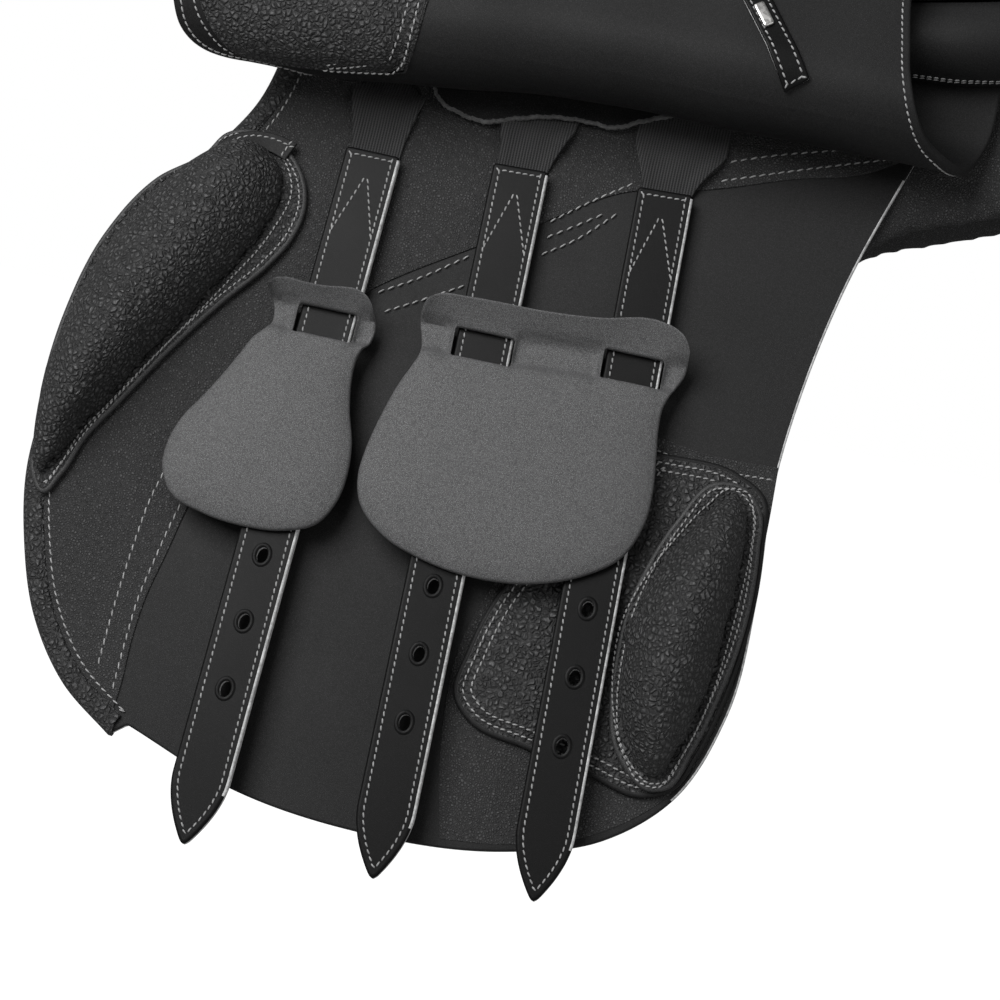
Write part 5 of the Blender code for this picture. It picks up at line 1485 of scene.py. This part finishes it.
def flap_keeper(size):
    """Keeper strap across the raised leaf, stitched round, and its metal bar."""
    loop = bar_loop(KEEPER_START, KEEPER_END, KEEPER_WIDTH)
    low, thick = -FLAP_THICKNESS, KEEPER_THICKNESS
    strap = plate(loop, (), low, thick, rounding=0.7, edge=1)
    flap_pieces("flap_keeper_leather", strap, ("strap_black", "raw_edge"), ([], [], ["flap_keeper"]))
    rows = stitches(round_again(inset(loop, 2.2)), low - thick, size, normal=(0, 0, -1))
    flap_pieces("flap_keeper_stitching", rows, ("thread",))
    loop = bar_loop(KEEPER_PLATE_START, KEEPER_PLATE_END, KEEPER_PLATE_WIDTH, 0.7)
    for _ in range(3):
        loop = (np.roll(loop, 1, 0) + loop * 2 + np.roll(loop, -1, 0)) / 4
    bar = plate(loop, (), low - thick + 0.2, 2.0, rounding=0.8)
    replaced = ([], [], ["keeper_plate"])
    flap_pieces("flap_keeper_bar", bar, ("plated_steel",), replaced)


# Skirt and seat

def table_at(table, x):
    """Values of a table's other columns at x, on straight lines between its rows."""
    table = np.array(table, float)
    return [np.interp(x, table[:, 0], table[:, k]) for k in range(1, table.shape[1])]


def seat(size):
    """Seat as a closed skin: its top falls from the middle to the edge as share^crown, dips
    beside the welts and rounds off at the edge; its underside follows, thinner outwards."""
    x = smooth_stations(SEAT_LINE, 90)
    middle, half, edge = (column[:, None] for column in seat_table(x))
    f = np.linspace(-1, 1, 81)
    share = np.abs(np.sin(f * pi / 2))
    across = np.sin(f * pi / 2) * half
    top = middle - (middle - edge) * share**SEAT_CROWN
    top = top - 1.4 * bell(np.abs(across) - size.seat_welt * half, 2.0)
    thick = SEAT_THICKNESS + (SEAT_EDGE - SEAT_THICKNESS) * share**4
    rounding = 2.2 * (1 - smooth((1 - np.abs(f)) / 0.06))
    x = np.broadcast_to(x[:, None], across.shape)
    upper = np.stack([x, across, top - rounding], -1)
    return slab(upper, np.stack([x, across * 0.998, top - thick + rounding * 0.5], -1))


def seat_table(x):
    """Seat's middle height, half width and edge height, by cubic pieces."""
    table = np.array(SEAT_LINE, float)
    slope = np.gradient(table[:, 1:], table[:, 0], axis=0)
    at = np.clip(np.searchsorted(table[:, 0], x) - 1, 0, len(table) - 2)
    span = (table[at + 1, 0] - table[at, 0])[:, None]
    f = (x - table[at, 0])[:, None] / span
    return hermite(f, table[at, 1:], slope[at] * span, table[at + 1, 1:], slope[at + 1] * span).T


def smooth_stations(table, count):
    """Places along x, closer together near both ends."""
    low, high = table[0][0], table[-1][0]
    return (low + high) / 2 - np.cos(np.linspace(0, pi, count)) * (high - low) / 2


def centre_piece(name, shape, finishes, nodes=(), sharp=50, tidy=True):
    """One piece of the seat in the saddle's own frame, given in millimetres."""
    points, quads, tris, *marks = shape.arrays()
    mesh = new_mesh(name, points * MM, quads, tris, np.concatenate(marks))
    if tidy:
        tidy_mesh(mesh)
    return finish_piece(name, mesh, finishes, "saddle", nodes, sharp)


def seat_pieces(size):
    """Seat, the welts on it and their sewing, which run along the seat at a share of its
    half width."""
    cushion = centre_piece("seat_cushion", seat(size), ("seat_black",), ["seat"], sharp=60)
    x = smooth_stations(SEAT_LINE, 200)[6:-4]
    middle, half, edge = seat_table(x)

    def along_seat(side, share, depth):
        return np.stack([x, side * half * share, middle - (middle - edge) * share**SEAT_CROWN - depth], -1)

    welts, rows = Shape(), Shape()
    for side in (-1, 1):
        welts.join(rope(along_seat(side, size.seat_welt, 0.6), 1.5))
        for gap in (-4.2, 4.2):
            rows.join(stitches(along_seat(side, size.seat_welt + gap / half, 0.05), None, size))
    centre_piece("seat_welts", welts, ("seat_black",), sharp=180)
    centre_piece("seat_stitching", rows, ("dark_thread",), tidy=False)


def rope(line, radius, sides=8):
    """Round cord along a line in space, its ends closed."""
    run = unit(np.gradient(line, axis=0))
    aside = unit(np.cross(run, (0, 0, 1)))
    up = np.cross(aside, run)
    angle = (np.arange(sides) * 2 * pi / sides)[None, :, None]
    rows = line[:, None] + radius * (aside[:, None] * np.cos(angle) + up[:, None] * np.sin(angle))
    return capped(Shape().add(rows, grid_faces(len(rows), sides)[:, ::-1]), rows, order=-1)


def skirt(size):
    """Skirt over the stirrup bar: straight lines from the seat's edge out and down to its
    own edge, bulged as 4f(1 - f) of the way f."""
    x = np.linspace(SKIRT_LINE[0][0], SKIRT_LINE[-1][0], 60)
    down, off = table_at(SKIRT_LINE, x)
    _, half, edge = seat_table(x)
    lower = world_points(np.stack([x, -down, off], -1), "L") / MM
    start = np.stack([x, 0.5 - half, edge - SEAT_EDGE - 0.6 - 0.18 * hinge_distance(x, half, edge)], -1)
    f = np.linspace(0, 1, 19)[None, :, None]
    out = unit(np.cross(lower - start, (1, 0, 0)))
    out = np.where(out[:, 1:2] > 0, -out, out)[:, None]
    face = start[:, None] + (lower - start)[:, None] * f + out * SKIRT_BULGE * 4 * f * (1 - f)
    shape = slab(face, face - out * SKIRT_THICKNESS)
    side_pieces(
        "skirt_leather", shape, ("smooth_black",), "skirt", ["skirt"], sharp=60, world=True
    )
    rows = Shape()
    for column, share in ((-2, 0.1), (-3, 0.6)):
        line = face[:, column] + (face[:, column + 1] - face[:, column]) * share
        rows.join(stitches(line, None, size, normal=(0, -0.9, 0.4)))
    sewing("skirt", rows, "skirt", world=True)


def hinge_distance(x, half, edge):
    """Distance of the seat's lower edge from the skirt's hinge line, across the saddle."""
    front, rear = (np.array(end, float) for end in SKIRT_AXIS)
    axis = front + (rear - front) * ((x - front[0]) / (rear[0] - front[0]))[:, None]
    return np.hypot(half - axis[:, 1], edge - SEAT_EDGE - axis[:, 2])


def panels(size):
    """Wool-stuffed panels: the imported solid's form, puffed by cloth."""
    for side in "LR":
        name, node = f"panel_cushion_{side}", f"panel_{side}"
        mesh = NODES[node].data.copy()
        mesh.name = name
        mesh.materials.clear()
        tidy_mesh(mesh)
        piece = finish_piece(name, mesh, ("fine_pebbled",), "saddle", [node], 180)
        cloth_puffed(piece, lambda p: np.abs(p[:, 1]) < PANEL_HELD, size)


# Studio

CAMERA_AT = (0.0454, -1.2147, -0.1359)
CAMERA_TURN, CAMERA_TILT, CAMERA_ROLL = radians(5), radians(4.62), radians(12.09)
LENS, SENSOR = 86.1, 36
FLOOR_LEVEL, FLOOR_SIZE, FLOOR_GREY = -0.62, 30, (0.4, 0.4, 0.4)

# Lights: where each stands, what it looks at, and its width
AIM = (-0.06, -0.2, -0.2)
LIGHTS = {
    "key": ((-0.72, -1.25, 0.6), AIM, 1.0),
    "fill": ((1.6, -1.7, 0.1), AIM, 1.2),
    "rim": ((0.3, 1.4, 1.5), (0, 0, 0), 1.2),
}


def camera():
    """Camera at the photograph's angle: looking across and slightly down, and rolled."""
    ahead = cos(CAMERA_TILT)
    look = Vector((-sin(CAMERA_TURN) * ahead, cos(CAMERA_TURN) * ahead, -sin(CAMERA_TILT)))
    level = Vector((cos(CAMERA_TURN), sin(CAMERA_TURN), 0))
    rise = level.cross(look)
    right = level * cos(CAMERA_ROLL) + rise * sin(CAMERA_ROLL)
    up = rise * cos(CAMERA_ROLL) - level * sin(CAMERA_ROLL)
    data = bpy.data.cameras.new("view")
    data.lens, data.sensor_width = LENS, SENSOR
    data.clip_start, data.clip_end = 0.05, 20
    view = bpy.data.objects.new("view", data)
    view.matrix_world = Matrix((right, up, -look)).transposed().to_4x4()
    view.location = CAMERA_AT
    bpy.context.scene.collection.objects.link(view)
    bpy.context.scene.camera = view


def area_light(name, at, aim, width, power):
    """Soft square light that looks at a point."""
    data = bpy.data.lights.new(name, "AREA")
    data.shape, data.size, data.energy = "SQUARE", width, power
    light = bpy.data.objects.new(name, data)
    light.location = at
    light.rotation_euler = (Vector(aim) - Vector(at)).to_track_quat("-Z", "Y").to_euler()
    bpy.context.scene.collection.objects.link(light)


def backdrop(studio):
    """White world for the eye, for gloss and for glass; dimmer light on matt surfaces."""
    world = bpy.data.worlds.new("studio")
    bpy.context.scene.world = world
    world.use_nodes = True
    tree = world.node_tree
    tree.nodes.clear()
    path = tree.nodes.new("ShaderNodeLightPath").outputs
    seen = maths(tree, "MAXIMUM", path["Is Camera Ray"], path["Is Transmission Ray"])
    gloss = maths(tree, "MULTIPLY", path["Is Glossy Ray"], studio.gloss_white)
    strength = maths(tree, "MAXIMUM", maths(tree, "MAXIMUM", seen, gloss), studio.sky_light)
    sky = add_node(tree, "ShaderNodeBackground", Color=(1, 1, 1, 1), Strength=strength)
    add_node(tree, "ShaderNodeOutputWorld", Surface=sky.outputs[0])


def floor(studio):
    """Pale floor that keeps the saddle's shadow: it glows only for the camera's rays."""
    bpy.ops.mesh.primitive_plane_add(size=FLOOR_SIZE, location=(0, 0, FLOOR_LEVEL))
    ground = bpy.context.active_object
    ground.name = "floor"
    made, tree, shader, _ = start_material("pale_floor", 0.0, roughness=1.0)
    seen = tree.nodes.new("ShaderNodeLightPath").outputs["Is Camera Ray"]
    glow = maths(tree, "MULTIPLY", seen, studio.floor_glow)
    colours = {"Base Color": (*FLOOR_GREY, 1), "Emission Color": (1, 1, 1, 1)}
    feed(tree, shader.inputs, {**colours, "Emission Strength": glow})
    ground.data.materials.append(made)


# The add-on's properties

def millimetres(label, about, value):
    """A length in millimetres."""
    return FloatProperty(name=f"{label} (mm)", description=about, default=value)


def fraction(label, about, value):
    """A share of 1."""
    return FloatProperty(name=label, description=about, subtype="FACTOR", min=0, max=1, default=value)


def watts(label, about, value):
    """A light's power."""
    return FloatProperty(name=label, description=about, subtype="POWER", unit="POWER", default=value)


def swatch(label, about, value):
    """A colour shown as a swatch."""
    return FloatVectorProperty(
        name=label, description=about, subtype="COLOR", size=3, min=0, max=1, default=value
    )


class SaddleSizes(bpy.types.PropertyGroup):
    """Sizes of the saddle's sewing, padding and relief, in millimetres but for the shares."""

    stitch_length: millimetres("Stitch length", "Length of one stitch", 2.35)
    stitch_gap: millimetres("Stitch gap", "Leather between two stitches", 0.75)
    stitch_thickness: millimetres("Stitch thickness", "Diameter of the sewing thread", 0.72)
    strap_stitch_inset: millimetres("Strap stitch inset", "From a strap's edge to its stitches", 3.2)
    binding_width: millimetres("Binding width", "Width of the sweat flap's rolled binding", 8.2)
    ragged_edge: millimetres("Ragged edge", "How far the tongue's cut edge strays", 0.5)
    lip_curl: millimetres("Lip curl", "How far a guard's lip curls out", 8.5)
    guard_swell: millimetres("Guard swell", "Crown of a guard's body", 3.2)
    coarse_pebble: millimetres("Coarse pebble", "Size of the padded leather's pebbles", 2.5)
    fine_pebble: millimetres("Fine pebble", "Size of the panel leather's pebbles", 1.15)
    pebble_depth: millimetres("Pebble depth", "Relief of the coarse pebbles", 1.3)
    seat_welt: fraction("Seat welt", "Share of the half width at which the seat's welts lie", 0.62)
    cloth_voxel: millimetres("Cloth voxel", "Size of the faces that the cloth works on", 5.0)
    cloth_pressure: FloatProperty(
        name="Cloth pressure", description="Air pressure inside a padded piece", default=4.0
    )
    cloth_cap: millimetres("Cloth cap", "Furthest that the cloth may move a point", 3.0)


class SaddleColours(bpy.types.PropertyGroup):
    """Colours of the saddle's finishes."""

    leather: swatch("Leather", "Black leather", (0.022, 0.022, 0.0225))
    padded: swatch("Padded leather", "Coarse pebbled leather", (0.085, 0.085, 0.086))
    panel: swatch("Panel leather", "Fine pebbled leather", (0.085, 0.085, 0.086))
    strap: swatch("Strap leather", "Dressed strap leather", (0.005, 0.005, 0.0052))
    guard: swatch("Guard leather", "Grey guard leather", (0.215, 0.215, 0.218))
    raw_edge: swatch("Raw edge", "Cut edge of dyed leather", (0.72, 0.72, 0.72))
    suede: swatch("Flesh side", "Raw flesh side of leather", (0.13, 0.13, 0.13))
    webbing: swatch("Webbing", "Woven girth web", (0.06, 0.06, 0.061))
    thread: swatch("Thread", "Visible sewing thread", (0.42, 0.42, 0.42))
    dark_thread: swatch("Dark thread", "Sewing thread of the seat", (0.06, 0.06, 0.06))
    steel: swatch("Steel", "Plated steel", (0.86, 0.85, 0.83))
    moulding: swatch("Moulding", "Moulded tree", (0.03, 0.03, 0.031))


class SaddleStudio(bpy.types.PropertyGroup):
    """Light round the saddle."""

    sky_light: fraction("Sky light", "Light that the surroundings give to matt surfaces", 0.17)
    gloss_white: fraction("Gloss white", "Brightness of the surroundings in glossy surfaces", 0.1)
    floor_glow: fraction("Floor glow", "Light that the floor gives out, so that it stays pale", 0.96)
    key: watts("Key", "Power of the main light", 21)
    fill: watts("Fill", "Power of the fill light", 5)
    rim: watts("Rim", "Power of the light from behind", 8)


# The add-on's operators

class SaddleOperator(bpy.types.Operator):
    """Base of the operators: makes pieces from the scene's sizes."""

    bl_idname = "saddle.piece"
    bl_label = "Make pieces"
    bl_options = {"REGISTER", "UNDO"}

    def execute(self, context):
        self.make(context.scene.saddle_sizes)
        return {"FINISHED"}


class SADDLE_OT_sweat_flaps(SaddleOperator):
    """Sweat flaps with their panels, binding and seams"""

    bl_idname = "saddle.sweat_flaps"
    bl_label = "Sweat flaps"

    def make(self, size):
        sweat_flap(size)


class SADDLE_OT_girth_straps(SaddleOperator):
    """Girth straps, their webs and the tongue over the webs"""

    bl_idname = "saddle.girth_straps"
    bl_label = "Girth straps"

    def make(self, size):
        for strap in STRAPS:
            girth_strap(strap, size)
            girth_web(strap)
        web_tongue(size)


class SADDLE_OT_buckle_guards(SaddleOperator):
    """Guards through which the girth straps weave"""

    bl_idname = "saddle.buckle_guards"
    bl_label = "Buckle guards"

    def make(self, size):
        buckle_guard("small_guard", SMALL_GUARD_OUTLINE, ["1"], size)
        buckle_guard("large_guard", LARGE_GUARD_OUTLINE, ["2", "3"], size)


class SADDLE_OT_blocks(SaddleOperator):
    """Knee and thigh blocks and the thigh block's base pad"""

    bl_idname = "saddle.blocks"
    bl_label = "Blocks"

    def make(self, size):
        knee_block(size)
        thigh_block(size)


class SADDLE_OT_flaps(SaddleOperator):
    """Flaps raised on their roll, with padding and keeper strap"""

    bl_idname = "saddle.flaps"
    bl_label = "Flaps"

    def make(self, size):
        flap_leaf(size)
        flap_keeper(size)


class SADDLE_OT_seat(SaddleOperator):
    """Seat with welts, and the skirts under its edges"""

    bl_idname = "saddle.seat"
    bl_label = "Seat and skirts"

    def make(self, size):
        seat_pieces(size)
        skirt(size)


class SADDLE_OT_panels(SaddleOperator):
    """Wool-stuffed panels"""

    bl_idname = "saddle.panels"
    bl_label = "Panels"

    def make(self, size):
        panels(size)


class SADDLE_OT_frame_finish(SaddleOperator):
    """Finishes of the tree and of the metal that keep their packed form"""

    bl_idname = "saddle.frame_finish"
    bl_label = "Tree and metal"

    def make(self, size):
        give_finish("tree", "moulded_tree")
        give_finish("head_plate", "plated_steel")
        for side in "LR":
            for node in ("stirrup_bar", "bar_catch", "dee"):
                give_finish(f"{node}_{side}", "plated_steel")
            give_finish(f"dee_chape_{side}", "strap_black")


class SADDLE_OT_studio(bpy.types.Operator):
    """Camera, white surroundings, soft lights and floor"""

    bl_idname = "saddle.studio"
    bl_label = "Studio"
    bl_options = {"REGISTER", "UNDO"}

    def execute(self, context):
        studio = context.scene.saddle_studio
        camera()
        backdrop(studio)
        floor(studio)
        for name, (at, aim, width) in LIGHTS.items():
            area_light(name, at, aim, width, getattr(studio, name))
        context.scene.view_settings.view_transform = "Standard"
        return {"FINISHED"}


class SADDLE_PT_panel(bpy.types.Panel):
    """Sidebar panel with the saddle's sizes, colours and operators"""

    bl_label = "Riding saddle"
    bl_idname = "SADDLE_PT_panel"
    bl_space_type = "VIEW_3D"
    bl_region_type = "UI"
    bl_category = "Saddle"

    def draw(self, context):
        for setting, group in SETTINGS.items():
            box = self.layout.box()
            for key in group.__annotations__:
                box.prop(getattr(context.scene, setting), key)
        for operator in OPERATORS:
            self.layout.operator(operator.bl_idname)


SETTINGS = {
    "saddle_sizes": SaddleSizes, "saddle_colours": SaddleColours, "saddle_studio": SaddleStudio,
}
OPERATORS = (
    SADDLE_OT_sweat_flaps, SADDLE_OT_girth_straps, SADDLE_OT_buckle_guards, SADDLE_OT_blocks,
    SADDLE_OT_flaps, SADDLE_OT_seat, SADDLE_OT_panels, SADDLE_OT_frame_finish, SADDLE_OT_studio,
)


def register():
    """Registers the add-on's classes and settings."""
    for cls in (*SETTINGS.values(), *OPERATORS, SADDLE_PT_panel):
        bpy.utils.register_class(cls)
    for setting, group in SETTINGS.items():
        setattr(bpy.types.Scene, setting, PointerProperty(type=group))


def unregister():
    """Removes the add-on's settings and classes."""
    for setting in SETTINGS:
        delattr(bpy.types.Scene, setting)
    for cls in reversed((*SETTINGS.values(), *OPERATORS, SADDLE_PT_panel)):
        bpy.utils.unregister_class(cls)


def main():
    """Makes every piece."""
    register()
    saddle = bpy.ops.saddle
    saddle.sweat_flaps()
    saddle.girth_straps()
    saddle.buckle_guards()
    saddle.blocks()
    saddle.flaps()
    saddle.seat()
    saddle.panels()
    saddle.frame_finish()
    saddle.studio()


if __name__ == "__main__":
    main()
